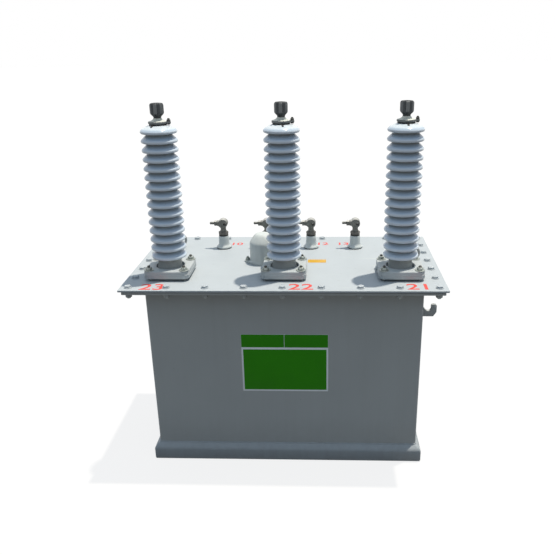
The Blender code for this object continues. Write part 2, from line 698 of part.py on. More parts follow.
cap_profile = [
    (hv_bore, HV_TOP_HEIGHT + GAP),
    (CAP_SEAT_RADIUS, HV_TOP_HEIGHT + GAP),
    (CAP_SEAT_RADIUS, HV_TOP_HEIGHT + GAP + CAP_SEAT),
    (CAP_RIM_RADIUS, HV_TOP_HEIGHT + GAP + CAP_SEAT),
    (CAP_RIM_RADIUS, HV_TOP_HEIGHT + GAP + CAP_SEAT + CAP_RIM),
    (HEAD_NECK_RADIUS, CAP_TOP),
    (hv_bore, CAP_TOP),
]
lug = bmesh.new()
lug_bottom = HV_TOP_HEIGHT + GAP + CAP_SEAT + LUG_MARGIN
lug_top = HV_TOP_HEIGHT + GAP + CAP_SEAT + CAP_RIM - LUG_MARGIN
box(lug, (CAP_SEAT_RADIUS, -LUG_WIDTH / 2, lug_bottom), (LUG_REACH, LUG_WIDTH / 2, lug_top))
vent_place = (LUG_REACH - VENT_END_MARGIN, 0.0)
vent_hex = hexagon(VENT_ACROSS, vent_place)
vent_stem = circle(VENT_STEM_RADIUS, HEX, vent_place)
vent_head = hexagon(VENT_HEAD_ACROSS, vent_place)
stem_bottom = lug_top + VENT_HEX
stem_top = stem_bottom + VENT_STEM
vent = bmesh.new()
solid(
    vent,
    [
        (vent_hex, (lug_bottom + lug_top) / 2),
        (vent_hex, stem_bottom),
        (vent_stem, stem_bottom),
        (vent_stem, stem_top),
        (vent_head, stem_top),
        (vent_head, stem_top + VENT_HEAD),
    ],
)
cap = turned(cap_profile, PORCELAIN_SIDES, bored=True)
hv_cap = combined("hv_cap", cap, [("UNION", lug), ("UNION", vent)])


def grooved(radius, depth):
    """A round outline with grooves cut down its side."""
    floor = radius - depth
    points = []
    for i in range(HEAD_GROOVES):
        for share, reach in ((0.18, floor), (0.36, radius), (0.64, radius), (0.82, floor)):
            angle = 2 * math.pi * (i + share) / HEAD_GROOVES
            points.append((reach * math.cos(angle), reach * math.sin(angle)))
    return points


head_sides = len(grooved(HEAD_RADIUS, HEAD_GROOVE_DEPTH))
head = bmesh.new()
solid(
    head,
    [
        (circle(ROD_RADIUS + ROD_CLEARANCE, head_sides), ROD_INTO_HEAD),
        (circle(ROD_RADIUS + ROD_CLEARANCE, head_sides), 0.0),
        (circle(HEAD_NECK_RADIUS, head_sides), 0.0),
        (circle(HEAD_NECK_RADIUS, head_sides), HEAD_NECK),
        (grooved(HEAD_RADIUS, HEAD_GROOVE_DEPTH), HEAD_NECK + HEAD_TAPER),
        (grooved(HEAD_RADIUS, HEAD_GROOVE_DEPTH), HEAD_HEIGHT - HEAD_GROOVE_DEPTH),
        (grooved(HEAD_RADIUS - HEAD_GROOVE_DEPTH, HEAD_GROOVE_DEPTH / 2), HEAD_HEIGHT),
    ],
)
hv_head = mesh_from("hv_terminal", head)

seat_outside = circle(HV_SHOULDER_RADIUS - SEAL_INSET, PORCELAIN_SIDES)
seat_inside = circle(HV_TAIL_RADIUS + BUSHING_PLAY, PORCELAIN_SIDES)
seal = bmesh.new()
plate(seal, seat_outside, [seat_inside], GAP, GAP + HV_GASKET)
hv_gasket = mesh_from("hv_gasket", seal)

rod_bottom = HV_TAIL_END - ROD_BELOW_TAIL
rod_top = HEAD_BOTTOM + ROD_INTO_HEAD - GAP
hv_rod = mesh_from("hv_conductor", turned([(ROD_RADIUS, rod_bottom), (ROD_RADIUS, rod_top)], ROUND_SIDES))
for number, (x, y) in enumerate(HV_PLACES, start=1):
    place_mesh(f"hv_gasket_{number}", hv_gasket, BLACK_RUBBER, (x, y, COVER_TOP))
    place_mesh(f"hv_porcelain_{number}", hv_porcelain, GREY_GLAZE, (x, y, COVER_TOP))
    place_mesh(f"hv_clamp_flange_{number}", hv_flange, CAST_ALUMINIUM, (x, y, COVER_TOP))
    place_mesh(f"hv_cap_{number}", hv_cap, TINNED_BRONZE, (x, y, COVER_TOP))
    place_mesh(f"hv_conductor_{number}", hv_rod, COPPER, (x, y, COVER_TOP))
    place_mesh(f"hv_terminal_{number}", hv_head, DARK_BRONZE, (x, y, COVER_TOP + HEAD_BOTTOM))

# Low-voltage bushing: short porcelain, nut, eye terminal on a stud, and a clamp bolt in the eye's side
lv_bore = LV_STUD_RADIUS + HOLE_PLAY
lv_profile = [
    (lv_bore, -COVER_PLATE - LV_TAIL_LENGTH),
    (LV_TAIL_RADIUS, -COVER_PLATE - LV_TAIL_LENGTH),
    (LV_TAIL_RADIUS, LV_SEAT),
    (LV_FLANGE_RADIUS, LV_SEAT),
    (LV_FLANGE_RADIUS, LV_SEAT + LV_FLANGE_EDGE),
    (LV_BODY_RADIUS, LV_SEAT + LV_FLANGE_EDGE + LV_BEVEL),
    (LV_BODY_RADIUS, LV_TOP_HEIGHT),
    (lv_bore, LV_TOP_HEIGHT),
]
lv_porcelain = mesh_from("lv_porcelain", turned(lv_profile, ROUND_SIDES, bored=True))

lv_nut_seat = LV_TOP_HEIGHT + GAP
lv_nut_top = lv_nut_seat + LV_NUT_HEIGHT
nut_body = hexagon(LV_NUT_ACROSS)
nut_bore = hexagon(2 * (LV_STUD_RADIUS + GAP))
nut = bmesh.new()
hollow(
    nut,
    [(nut_body, lv_nut_seat), (nut_body, lv_nut_top), (nut_bore, lv_nut_top), (nut_bore, lv_nut_seat)],
)
lv_nut = mesh_from("lv_nut", nut)
lv_stud = turned(
    [
        (LV_STUD_RADIUS, LV_STUD_END),
        (LV_STUD_RADIUS, lv_nut_top + GAP),
        (LV_NECK_RADIUS, lv_nut_top + GAP),
        (LV_NECK_RADIUS, LV_EYE_HEIGHT),
    ],
    ROUND_SIDES,
)
bolt_bore = LV_BOLT_RADIUS + TURN_PLAY
eye = turned([(LV_EYE_RADIUS, -LV_EYE_WIDTH / 2), (LV_EYE_RADIUS, LV_EYE_WIDTH / 2)], 2 * ROUND_SIDES)
oval = [(LV_BORE_OFFSET + x * LV_BORE_WIDTH / 2, z * LV_BORE_HEIGHT / 2) for x, z in circle(1, ROUND_SIDES)]
eye_drill = bmesh.new()
solid(eye_drill, [(oval, -LV_EYE_WIDTH), (oval, LV_EYE_WIDTH)])
bolt_drill = turned([(bolt_bore, -LV_BORE_OFFSET), (bolt_bore, LV_BOLT_REACH)], ROUND_SIDES)
for shape in (eye, eye_drill):
    upright(shape)
    bmesh.ops.translate(shape, verts=shape.verts, vec=(0.0, 0.0, LV_EYE_HEIGHT))
leftward(bolt_drill)
bmesh.ops.translate(bolt_drill, verts=bolt_drill.verts, vec=(0.0, 0.0, LV_EYE_HEIGHT))
lv_steps = [("UNION", eye), ("DIFFERENCE", eye_drill), ("DIFFERENCE", bolt_drill)]
lv_terminal = combined("lv_terminal", lv_stud, lv_steps)

hex_start = LV_EYE_RADIUS + LV_BOLT_HEX_GAP
bolt_start = LV_BORE_WIDTH / 2 - LV_BORE_OFFSET + GAP
clamp_bolt = bmesh.new()
solid(
    clamp_bolt,
    [
        (circle(LV_BOLT_RADIUS, HEX), bolt_start),
        (circle(LV_BOLT_RADIUS, HEX), hex_start),
        (hexagon(LV_BOLT_ACROSS), hex_start),
        (hexagon(LV_BOLT_ACROSS), hex_start + LV_BOLT_HEX),
        (circle(LV_BOLT_RADIUS, HEX), hex_start + LV_BOLT_HEX),
        (circle(LV_BOLT_RADIUS, HEX), LV_BOLT_REACH),
    ],
)
lv_bolt = mesh_from("lv_clamp_bolt", leftward(clamp_bolt))

for number, (x, y) in enumerate(LV_PLACES):
    place_mesh(f"lv_porcelain_{number}", lv_porcelain, PALE_GLAZE, (x, y, COVER_TOP))
    place_mesh(f"lv_nut_{number}", lv_nut, TINNED_BRONZE, (x, y, COVER_TOP))
    place_mesh(f"lv_terminal_{number}", lv_terminal, TINNED_BRONZE, (x, y, COVER_TOP))
    place_mesh(f"lv_clamp_bolt_{number}", lv_bolt, TINNED_BRONZE, (x, y, COVER_TOP + LV_EYE_HEIGHT))

# Tap changer: switch hung in the cover, position plate, knob with its shaft, and a hood with captive screws
switch_bore = circle(SHAFT_RADIUS + TURN_PLAY, ROUND_SIDES)
switch_neck = circle(SWITCH_NECK_RADIUS, ROUND_SIDES)
switch_body = circle(SWITCH_RADIUS, ROUND_SIDES)
switch_top = -COVER_PLATE - GAP
switch = bmesh.new()
solid(
    switch,
    [
        (switch_bore, -SHAFT_DEPTH - GAP),
        (switch_bore, SWITCH_NECK),
        (switch_neck, SWITCH_NECK),
        (switch_neck, switch_top),
        (switch_body, switch_top),
        (switch_body, switch_top - SWITCH_LENGTH),
    ],
)
add("tap_switch", switch, MOULDED_RESIN, (TAP_X, TAP_Y, COVER_TOP))

dial = bmesh.new()
dial_hole = circle(SWITCH_NECK_RADIUS + HOLE_PLAY, ROUND_SIDES)
plate(dial, circle(DIAL_RADIUS, ROUND_SIDES), [dial_hole], 0.0, DIAL_PLATE)
add("tap_dial", dial, CAST_ALUMINIUM, (TAP_X, TAP_Y, COVER_TOP + GAP))

knob_outline = circle(KNOB_RADIUS, ROUND_SIDES)
knob_outline[0] = (KNOB_NOSE, 0.0)
knob = bmesh.new()
solid(
    knob,
    [
        (circle(SHAFT_RADIUS, ROUND_SIDES), -SHAFT_DEPTH),
        (circle(SHAFT_RADIUS, ROUND_SIDES), SWITCH_NECK + GAP),
        (knob_outline, SWITCH_NECK + GAP),
        (knob_outline, SWITCH_NECK + GAP + KNOB_HEIGHT),
    ],
)
bmesh.ops.rotate(knob, verts=knob.verts, matrix=Matrix.Rotation(-math.pi / 2, 3, "Z"))
add("tap_knob", knob, MOULDED_RESIN, (TAP_X, TAP_Y, COVER_TOP))

hood_sides = 2 * ROUND_SIDES
ear_turn = math.degrees(math.acos((HOOD_RADIUS + HOOD_WALL - EAR_RADIUS) / EAR_OFFSET))
ear_outline = arc((EAR_OFFSET, 0.0), EAR_RADIUS, -ear_turn, ear_turn, CORNER_STEPS)
side_arc = arc((0.0, 0.0), HOOD_RADIUS + HOOD_WALL, ear_turn, 180 - ear_turn, CORNER_STEPS)
half_outline = ear_outline + side_arc
hood_outline = half_outline + [(-x, -y) for x, y in half_outline]
hood = bmesh.new()


def hood_wall(radius, foot, crown):
    """The hood's round wall and flat top; gives the ring at its foot."""
    edge = crown - HOOD_CROWN
    crown_radius = radius - HOOD_SHOULDER
    levels = [(radius, foot), (radius, edge - HOOD_SHOULDER_RISE)]
    levels += [(crown_radius, edge), (crown_radius - HOOD_CROWN, crown)]
    return boss(hood, [(circle(r, hood_sides), z) for r, z in levels])


below = [hood_wall(HOOD_RADIUS - HOOD_WALL, 0.0, HOOD_HEIGHT - HOOD_WALL)]
above = [hood_wall(HOOD_RADIUS, HOOD_FLANGE, HOOD_HEIGHT)]
for side in (-1, 1):
    place = (side * EAR_OFFSET, 0.0)
    screw = circle(HOOD_SCREW_RADIUS, HEX, place)
    screw_head = hexagon(HOOD_SCREW_ACROSS, place)
    below.append(boss(hood, [(screw, 0.0), (screw, -COVER_PLATE)]))
    above.append(boss(hood, [(screw_head, HOOD_FLANGE), (screw_head, HOOD_FLANGE + HOOD_SCREW_HEAD)]))
plate(hood, hood_outline, [], 0.0, HOOD_FLANGE, below, above)
add("tap_hood", hood, GREY_PAINT, (TAP_X, TAP_Y, COVER_TOP + GAP))

# Core: three limbs and two yokes of stacked sheet, clamped in a frame that stands on the tank floor
core = bmesh.new()
core_half = COIL_PITCH + CORE_LIMB / 2
core_middle = (CORE_BOTTOM + CORE_TOP) / 2
window_x = (COIL_PITCH - CORE_LIMB) / 2
window_z = (CORE_TOP - CORE_BOTTOM) / 2 - CORE_LIMB
windows = [
    [(x + side * COIL_PITCH / 2, z) for x, z in rectangle(window_x, window_z)] for side in (-1, 1)
]
core_outline = rectangle(core_half, (CORE_TOP - CORE_BOTTOM) / 2)
plate(core, core_outline, windows, -CORE_STACK / 2, CORE_STACK / 2)
add("core", upright(core), CORE_STEEL, (0.0, 0.0, core_middle))

frame_half = COIL_PITCH + COIL_RADIUS + FRAME_OVERHANG
frame_bottom = TANK_INSIDE + GAP
frame_top = CORE_TOP - FRAME_YOKE_MARGIN
opening_bottom = CORE_BOTTOM + FRAME_YOKE_MARGIN + FRAME_BAR
opening_top = frame_top - FRAME_BAR
frame_middle = (opening_bottom + opening_top) / 2
opening = rectangle(frame_half - FRAME_TIE, (opening_top - opening_bottom) / 2)
frame_outline = [
    (frame_half, frame_top - frame_middle),
    (-frame_half, frame_top - frame_middle),
    (-frame_half, frame_bottom - frame_middle),
    (frame_half, frame_bottom - frame_middle),
]
frame_y = CORE_STACK / 2 + GAP
frame_sides = []
for front, back in ((-frame_y - FRAME_PLATE, -frame_y), (frame_y, frame_y + FRAME_PLATE)):
    frame_side = bmesh.new()
    plate(frame_side, frame_outline, [opening], front, back)
    frame_sides.append(frame_side)
frame_steps = [("UNION", frame_sides[1])]
tie_x = frame_half - FRAME_TIE / 2
tie_z = (opening_top - opening_bottom + FRAME_BAR) / 2
for tie_place in rectangle(tie_x, tie_z):
    tie = bmesh.new()
    bar = circle(FRAME_TIE_BAR, ROUND_SIDES, tie_place)
    solid(tie, [(bar, -frame_y - FRAME_PLATE / 2), (bar, frame_y + FRAME_PLATE / 2)])
    frame_steps.append(("UNION", tie))
core_frame = bmesh.new()
core_frame.from_mesh(combined("core_frame", frame_sides[0], frame_steps))
add("core_frame", upright(core_frame), CORE_STEEL, (0.0, 0.0, frame_middle))

# Windings: low-voltage coil next to each limb, high-voltage coil around it, each with its leads
lead_root = COIL_TOP - LEAD_BEND
hv_side = math.sqrt(HV_COIL_MIDDLE**2 - LEAD_BEND**2)
lv_side = math.sqrt(LV_COIL_MIDDLE**2 - (2 * LEAD_BEND) ** 2)
hv_start = COVER_TOP + rod_bottom - GAP
lv_start = COVER_TOP + LV_STUD_END - GAP
tap_start = COVER_TOP + switch_top - SWITCH_LENGTH - GAP
lv_coil_bore = LV_COIL_BORE / math.cos(math.pi / COIL_SIDES)


def coil(x, bore, radius):
    """A plain round winding on the limb at one place."""
    inside = circle(bore, COIL_SIDES, (x, 0.0))
    outside = circle(radius, COIL_SIDES, (x, 0.0))
    bm = bmesh.new()
    hollow(bm, [(inside, COIL_BOTTOM), (outside, COIL_BOTTOM), (outside, COIL_TOP), (inside, COIL_TOP)])
    return bm


phases = zip(HV_PLACES, reversed(LV_PLACES[1:]), COIL_PLACES)
for number, ((hv_x, hv_y), (lv_x, lv_y), coil_x) in enumerate(phases, start=1):
    line_lead = lead(
        [
            (hv_x, hv_y, hv_start),
            (hv_x, hv_y, hv_start - LEAD_BEND),
            (coil_x + LEAD_BEND, -hv_side, COIL_TOP + LEAD_BEND),
            (coil_x + LEAD_BEND, -hv_side, lead_root),
        ]
    )
    tap_x = TAP_X + coil_x / COIL_PITCH * SWITCH_RADIUS / 2
    tap_lead = lead(
        [
            (tap_x, TAP_Y, tap_start),
            (tap_x, TAP_Y, tap_start - LEAD_BEND / 2),
            (coil_x - LEAD_BEND, -hv_side, CORE_TOP),
            (coil_x - LEAD_BEND, -hv_side, lead_root),
        ]
    )
    low_lead = lead(
        [
            (lv_x, lv_y, lv_start),
            (lv_x, lv_y, CORE_TOP),
            (coil_x + 2 * LEAD_BEND, lv_side, CORE_TOP - LEAD_BEND),
            (coil_x + 2 * LEAD_BEND, lv_side, lead_root),
        ]
    )
    hv_name = f"hv_winding_{number}"
    hv_coil = coil(coil_x, HV_COIL_BORE, COIL_RADIUS)
    place_mesh(hv_name, combined(hv_name, hv_coil, [("UNION", line_lead), ("UNION", tap_lead)]), PAPER_WRAP)
    lv_name = f"lv_winding_{number}"
    lv_coil = coil(coil_x, lv_coil_bore, LV_COIL_RADIUS)
    place_mesh(lv_name, combined(lv_name, lv_coil, [("UNION", low_lead)]), COPPER)

# Neutral lead: lies across the three low-voltage coils and rises to the neutral bushing
neutral_x, neutral_y = LV_PLACES[0]
neutral_bar = COIL_TOP + GAP + LEAD_RADIUS
neutral = lead(
    [
        (neutral_x, neutral_y, lv_start),
        (neutral_x, neutral_y, neutral_bar + LEAD_BEND),
        (-COIL_PITCH, LV_COIL_MIDDLE + LEAD_BEND, neutral_bar),
        (-COIL_PITCH + LEAD_BEND, LV_COIL_MIDDLE, neutral_bar),
        (COIL_PITCH, LV_COIL_MIDDLE, neutral_bar),
    ]
)
add("neutral_lead", neutral, COPPER)

# Cover eyes: forged rings on collars, for lifting the cover
eye_middle = EYE_COLLAR + EYE_RADIUS
eye_ring = bmesh.new()
sections = []
for turn in [2 * math.pi * (i + 0.5) / ROUND_SIDES for i in range(ROUND_SIDES)]:
    section = []
    for out, across in circle(EYE_BAR, HEX):
        reach = EYE_RADIUS + out
        corner = (reach * math.cos(turn), across, eye_middle + reach * math.sin(turn))
        section.append(eye_ring.verts.new(corner))
    sections.append(section)
wall(eye_ring, *sections, sections[0])
collar = turned([(EYE_COLLAR_RADIUS, 0.0), (EYE_COLLAR_RADIUS, EYE_COLLAR)], ROUND_SIDES)
eyebolt = combined("eyebolt", eye_ring, [("UNION", collar)])
for side_name, (x, y) in zip(("left", "right"), EYE_PLACES):
    place_mesh(f"eyebolt_{side_name}", eyebolt, GREY_PAINT, (x, y, COVER_TOP + GAP))

# Drain valve on the tank's back: boss, body and spout in one casting, with a lever on its bonnet
valve = turned(
    [
        (DRAIN_HOLE, DRAIN_BOSS),
        (DRAIN_HOLE, 0.0),
        (DRAIN_BOSS_RADIUS, 0.0),
        (DRAIN_BOSS_RADIUS, DRAIN_BOSS),
        (DRAIN_BODY_RADIUS, DRAIN_BOSS),
        (DRAIN_BODY_RADIUS, DRAIN_BOSS + DRAIN_BODY),
        (DRAIN_SPOUT_RADIUS, DRAIN_BOSS + DRAIN_BODY),
        (DRAIN_SPOUT_RADIUS, DRAIN_BOSS + DRAIN_BODY + DRAIN_SPOUT),
        (DRAIN_MOUTH_RADIUS, DRAIN_BOSS + DRAIN_BODY + DRAIN_SPOUT),
        (DRAIN_MOUTH_RADIUS, DRAIN_BOSS + DRAIN_BODY + DRAIN_SPOUT - DRAIN_MOUTH),
    ],
    ROUND_SIDES,
)
bmesh.ops.rotate(valve, verts=valve.verts, matrix=Matrix.Rotation(-math.pi / 2, 3, "X"))
lever_y = DRAIN_BOSS + DRAIN_BODY / 2
bonnet_top = DRAIN_BODY_RADIUS + DRAIN_BONNET
bonnet_outline = circle(DRAIN_BONNET_RADIUS, ROUND_SIDES, (0.0, lever_y))
bonnet = bmesh.new()
solid(bonnet, [(bonnet_outline, 0.0), (bonnet_outline, bonnet_top)])
drain_valve = combined("drain_valve", valve, [("UNION", bonnet)])
drain_place = (DRAIN_X, TANK_Y + GAP, DRAIN_HEIGHT)
place_mesh("drain_valve", drain_valve, BRASS, drain_place)

lever_turn = math.degrees(math.acos((LEVER_HUB_RADIUS - LEVER_END_RADIUS) / LEVER_LENGTH))
lever_outline = arc((LEVER_LENGTH, 0.0), LEVER_END_RADIUS, -lever_turn, lever_turn, CORNER_STEPS)
lever_outline += arc((0.0, 0.0), LEVER_HUB_RADIUS, lever_turn, 360 - lever_turn, 2 * CORNER_STEPS)
lever = bmesh.new()
plate(lever, lever_outline, [], 0.0, LEVER_PLATE)
lever_nut = bmesh.new()
nut_outline = hexagon(LEVER_NUT_ACROSS)
solid(lever_nut, [(nut_outline, LEVER_PLATE / 2), (nut_outline, LEVER_PLATE + LEVER_NUT)])
drain_handle = combined("drain_handle", lever, [("UNION", lever_nut)])
lever_place = (DRAIN_X, drain_place[1] + lever_y, DRAIN_HEIGHT + bonnet_top + GAP)
place_mesh("drain_handle", drain_handle, BRASS, lever_place)

# Label stuck on the tank's front
label = bmesh.new()
label_half = LABEL_WIDTH / 2
box(label, (-label_half, -LABEL_PLATE, -LABEL_HEIGHT), (label_half, 0.0, 0.0))
add("front_label", label, GREEN_VINYL, (0.0, -TANK_Y - GAP, RIM_UNDERSIDE - LABEL_DROP))
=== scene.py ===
"""Looks of a three-phase liquid-filled distribution transformer with bushings on its cover.

Metres, +Z up, and the front faces -Y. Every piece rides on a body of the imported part.
"""

import math

import bmesh
import bpy
from mathutils import Matrix, Vector, noise


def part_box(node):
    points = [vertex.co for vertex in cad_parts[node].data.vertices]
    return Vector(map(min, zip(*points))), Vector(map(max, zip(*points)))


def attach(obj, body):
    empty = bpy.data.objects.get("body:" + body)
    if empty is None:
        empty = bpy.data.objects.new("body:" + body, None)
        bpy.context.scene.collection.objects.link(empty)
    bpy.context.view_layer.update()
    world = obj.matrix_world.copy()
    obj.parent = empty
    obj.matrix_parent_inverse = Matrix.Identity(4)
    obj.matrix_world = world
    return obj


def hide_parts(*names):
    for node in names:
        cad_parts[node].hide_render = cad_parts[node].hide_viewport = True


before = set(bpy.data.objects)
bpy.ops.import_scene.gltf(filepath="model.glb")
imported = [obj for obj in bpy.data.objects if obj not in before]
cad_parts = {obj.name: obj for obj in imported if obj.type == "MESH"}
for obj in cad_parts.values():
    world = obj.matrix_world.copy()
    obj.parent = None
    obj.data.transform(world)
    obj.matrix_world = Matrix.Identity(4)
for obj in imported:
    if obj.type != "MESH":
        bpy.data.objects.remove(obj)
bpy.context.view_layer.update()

# Camera
# Stands in front of the tank, a little to its right and above the cover, and looks slightly down.
# The lens shift is the photograph's own framing.
yaw = math.radians(-2.4391)
pitch = math.radians(20.3987)
roll = math.radians(-0.7983)
ahead = Vector((math.sin(yaw) * math.cos(pitch), math.cos(yaw) * math.cos(pitch), -math.sin(pitch)))
level = Vector((math.cos(yaw), -math.sin(yaw), 0))
upward = level.cross(ahead)
camera_right = math.cos(roll) * level + math.sin(roll) * upward
camera_up = math.cos(roll) * upward - math.sin(roll) * level
camera_data = bpy.data.cameras.new("camera")
camera_data.sensor_width = 36
camera_data.lens = 41.03
camera_data.shift_x = -0.0405
camera = bpy.data.objects.new("camera", camera_data)
camera.matrix_world = Matrix((camera_right, camera_up, -ahead)).transposed().to_4x4()
camera.location = (0.1301, -2.0382, 1.3372)
bpy.context.scene.collection.objects.link(camera)
bpy.context.scene.camera = camera
bpy.context.scene.view_settings.view_transform = "Standard"


# Light and floor
# A soft lamp high on the right and slightly behind stands for the sun, and a dome that is brighter overhead
# fills the shade. The floor is pale, plain and matt, and keeps the shadow.
toward_sun = Vector((0.212, 0.132, 0.968))
floor_half = 40
floor_drop = 0.0005


def linear(code):
    """A colour for a shader from its sRGB hex code."""
    parts = [int(code[i : i + 2], 16) / 255 for i in (1, 3, 5)]
    return (*[c / 12.92 if c <= 0.04045 else ((c + 0.055) / 1.055) ** 2.4 for c in parts], 1.0)


def add_node(tree, kind, settings=None, links=None):
    """A node with its settings, which name a property or an input, and the outputs that feed its inputs."""
    made = tree.nodes.new(kind)
    for key, value in (settings or {}).items():
        if isinstance(key, str) and hasattr(made, key):
            setattr(made, key, value)
        else:
            made.inputs[key].default_value = value
    for key, source in (links or {}).items():
        tree.links.new(source, made.inputs[key])
    return made


def show_apart(tree, ending, lighting, shown):
    """Ends a tree with one shader that gives light and one that the camera, reflections and glass see."""
    ray = add_node(tree, "ShaderNodeLightPath").outputs
    seen = ray["Is Camera Ray"]
    for kind in ("Is Glossy Ray", "Is Transmission Ray"):
        seen = add_node(tree, "ShaderNodeMath", {"operation": "MAXIMUM"}, {0: seen, 1: ray[kind]}).outputs[0]
    both = {0: seen, 1: lighting.outputs[0], 2: shown.outputs[0]}
    mixed = add_node(tree, "ShaderNodeMixShader", links=both)
    add_node(tree, ending, links={"Surface": mixed.outputs[0]})


sun_data = bpy.data.lights.new("sun_lamp", "SUN")
sun_data.energy = 3.85
sun_data.angle = math.radians(1.4)
sun_data.color = linear("#fff6e8")[:3]
sun = bpy.data.objects.new("sun_lamp", sun_data)
sun.rotation_mode = "QUATERNION"
sun.rotation_quaternion = toward_sun.to_track_quat("Z", "Y")
bpy.context.scene.collection.objects.link(sun)

world = bpy.data.worlds.new("studio")
world.use_nodes = True
bpy.context.scene.world = world
tree = world.node_tree
tree.nodes.clear()
direction = add_node(tree, "ShaderNodeTexCoord")
height = add_node(tree, "ShaderNodeSeparateXYZ", links={0: direction.outputs["Generated"]})
brightness = add_node(tree, "ShaderNodeMapRange", {3: 0.14, 4: 0.9}, {0: height.outputs["Z"]})
sky_blue = {"Color": linear("#d9ecff")}
sky = add_node(tree, "ShaderNodeBackground", sky_blue, {"Strength": brightness.outputs[0]})
white = add_node(tree, "ShaderNodeBackground", {"Color": linear("#ffffff"), "Strength": 1.0})
show_apart(tree, "ShaderNodeOutputWorld", sky, white)

floor_finish = bpy.data.materials.new("pale_matt_floor")
floor_finish.use_nodes = True
tree = floor_finish.node_tree
tree.nodes.clear()
ground = add_node(tree, "ShaderNodeBsdfDiffuse", {"Color": linear("#5d5b58")})
paper = add_node(tree, "ShaderNodeBsdfDiffuse", {"Color": linear("#5f5f5f")})
glow = add_node(tree, "ShaderNodeEmission", {"Color": linear("#ffffff"), "Strength": 0.84})
pale = add_node(tree, "ShaderNodeAddShader", links={0: paper.outputs[0], 1: glow.outputs[0]})
show_apart(tree, "ShaderNodeOutputMaterial", ground, pale)
floor_mesh = bpy.data.meshes.new("floor")
floor_corners = [(x * floor_half, y * floor_half, 0) for x, y in ((-1, -1), (1, -1), (1, 1), (-1, 1))]
floor_mesh.from_pydata(floor_corners, [], [(0, 1, 2, 3)])
floor_mesh.materials.append(floor_finish)
floor = bpy.data.objects.new("floor", floor_mesh)
floor.location.z = -floor_drop
bpy.context.scene.collection.objects.link(floor)

# Base skirt
# Steel plate folded round the tank's foot, turned in below to stand on, with a sloping top.
# It is welded to the tank all round and sprayed with the same grey enamel.
mm = 0.001
fit_gap = 0.3 * mm
tank_low, tank_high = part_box("tank_body")
tank_x, tank_y = -tank_low.x, -tank_low.y
tank_corner = 8 * mm
foot_corner = 4 * mm
bead_step = 2.4 * mm
paint_gloss = {"Specular IOR Level": 0.3}


def start_material(name):
    """A new material with its node tree and the link that lays a pattern on its piece."""
    material = bpy.data.materials.new(name)
    material.use_nodes = True
    tree = material.node_tree
    return material, tree, {0: add_node(tree, "ShaderNodeTexCoord").outputs["Object"]}


def lay_over(tree, under, colour, pattern, limits=None):
    """A colour laid over another one, which is a hex code or an output, as far as a pattern says.

    The limits are two values of the pattern and the colour's share at each. Without them, the pattern
    itself is the share.
    """
    if limits:
        start, end, first, last = limits
        share = add_node(tree, "ShaderNodeMapRange", {1: start, 2: end, 3: first, 4: last}, {0: pattern})
        pattern = share.outputs[0]
    settings, links = {"data_type": "RGBA", 7: linear(colour)}, {0: pattern}
    if isinstance(under, str):
        settings[6] = linear(under)
    else:
        links[6] = under
    return add_node(tree, "ShaderNodeMix", settings, links).outputs[2]


def finish(tree, colour, gloss, rough, reliefs=(), sockets=None):
    """Ends a material with its colour, a roughness that a pattern varies, its bumps and its plain values.

    Each relief is a pattern with a strength and a height, and lies on the one before it.
    """
    shader = tree.nodes["Principled BSDF"]
    dulled = add_node(tree, "ShaderNodeMapRange", {3: rough[0], 4: rough[1]}, {0: gloss})
    links = {"Base Color": colour, "Roughness": dulled.outputs[0]}
    below = {}
    for pattern, strength, distance in reliefs:
        settings = {"Strength": strength, "Distance": distance}
        raised = add_node(tree, "ShaderNodeBump", settings, {"Height": pattern, **below})
        below = {"Normal": raised.outputs[0]}
    for key, source in (links | below).items():
        tree.links.new(source, shader.inputs[key])
    for key, value in (sockets or {}).items():
        shader.inputs[key].default_value = value


def sprayed_enamel(name, dark, light, dust, dust_top, runs):
    """Alkyd paint on steel, with cloudy patches, chips, dust below a level and rain marks straight down.

    The sheet's own waves and the orange peel of spraying, drawn at 5 mm so that it shows, are in its bump.
    """
    material, tree, here = start_material(name)
    clouds = add_node(tree, "ShaderNodeTexNoise", {"Scale": 1 / 0.19, "Detail": 5.0, "Roughness": 0.6}, here)
    colour = lay_over(tree, dark, light, clouds.outputs[0])
    upright = add_node(tree, "ShaderNodeMapping", {"Scale": (1 / 0.014, 1 / 0.014, 1 / 0.4)}, here)
    rain = add_node(tree, "ShaderNodeTexNoise", {"Scale": 1.0, "Detail": 3.0}, {0: upright.outputs[0]})
    colour = lay_over(tree, colour, dust, rain.outputs[0], (0.42, 0.72, 0.0, runs))
    where = add_node(tree, "ShaderNodeSeparateXYZ", links=here)
    thinning = {1: 0.0, 2: dust_top, 3: 0.8, 4: 0.0}
    low_down = add_node(tree, "ShaderNodeMapRange", thinning, {0: where.outputs["Z"]})
    specks = add_node(tree, "ShaderNodeTexNoise", {"Scale": 1 / 0.03, "Detail": 6.0, "Roughness": 0.7}, here)
    both = {0: low_down.outputs[0], 1: specks.outputs[0]}
    settled = add_node(tree, "ShaderNodeMath", {"operation": "MULTIPLY"}, both)
    colour = lay_over(tree, colour, dust, settled.outputs[0])
    chips = add_node(tree, "ShaderNodeTexVoronoi", {"Scale": 1 / 0.06}, here)
    colour = lay_over(tree, colour, "#7c8383", chips.outputs["Distance"], (0.022, 0.03, 0.55, 0.0))
    sheet = add_node(tree, "ShaderNodeTexNoise", {"Scale": 1 / 0.3, "Detail": 1.0}, here)
    peel = add_node(tree, "ShaderNodeTexNoise", {"Scale": 1 / 0.005, "Detail": 2.0}, here)
    reliefs = [(sheet.outputs[0], 0.25, 0.006), (peel.outputs[0], 0.12, 0.0006)]
    finish(tree, colour, specks.outputs[0], (0.4, 0.56), reliefs, paint_gloss)
    return material


# Base enamel: the paint nearest the ground. The eye sees it darker and bluer, with more dirt low down.
# The darker, bluer tone is painted shade near the ground, and the darker dust low down is partly painted
# shade too.
base_enamel_painted_shade = sprayed_enamel("base_enamel_painted_shade_and_dirt", "#979fa5", "#a3abb0", "#7d7e7c", 0.09, 0.12)


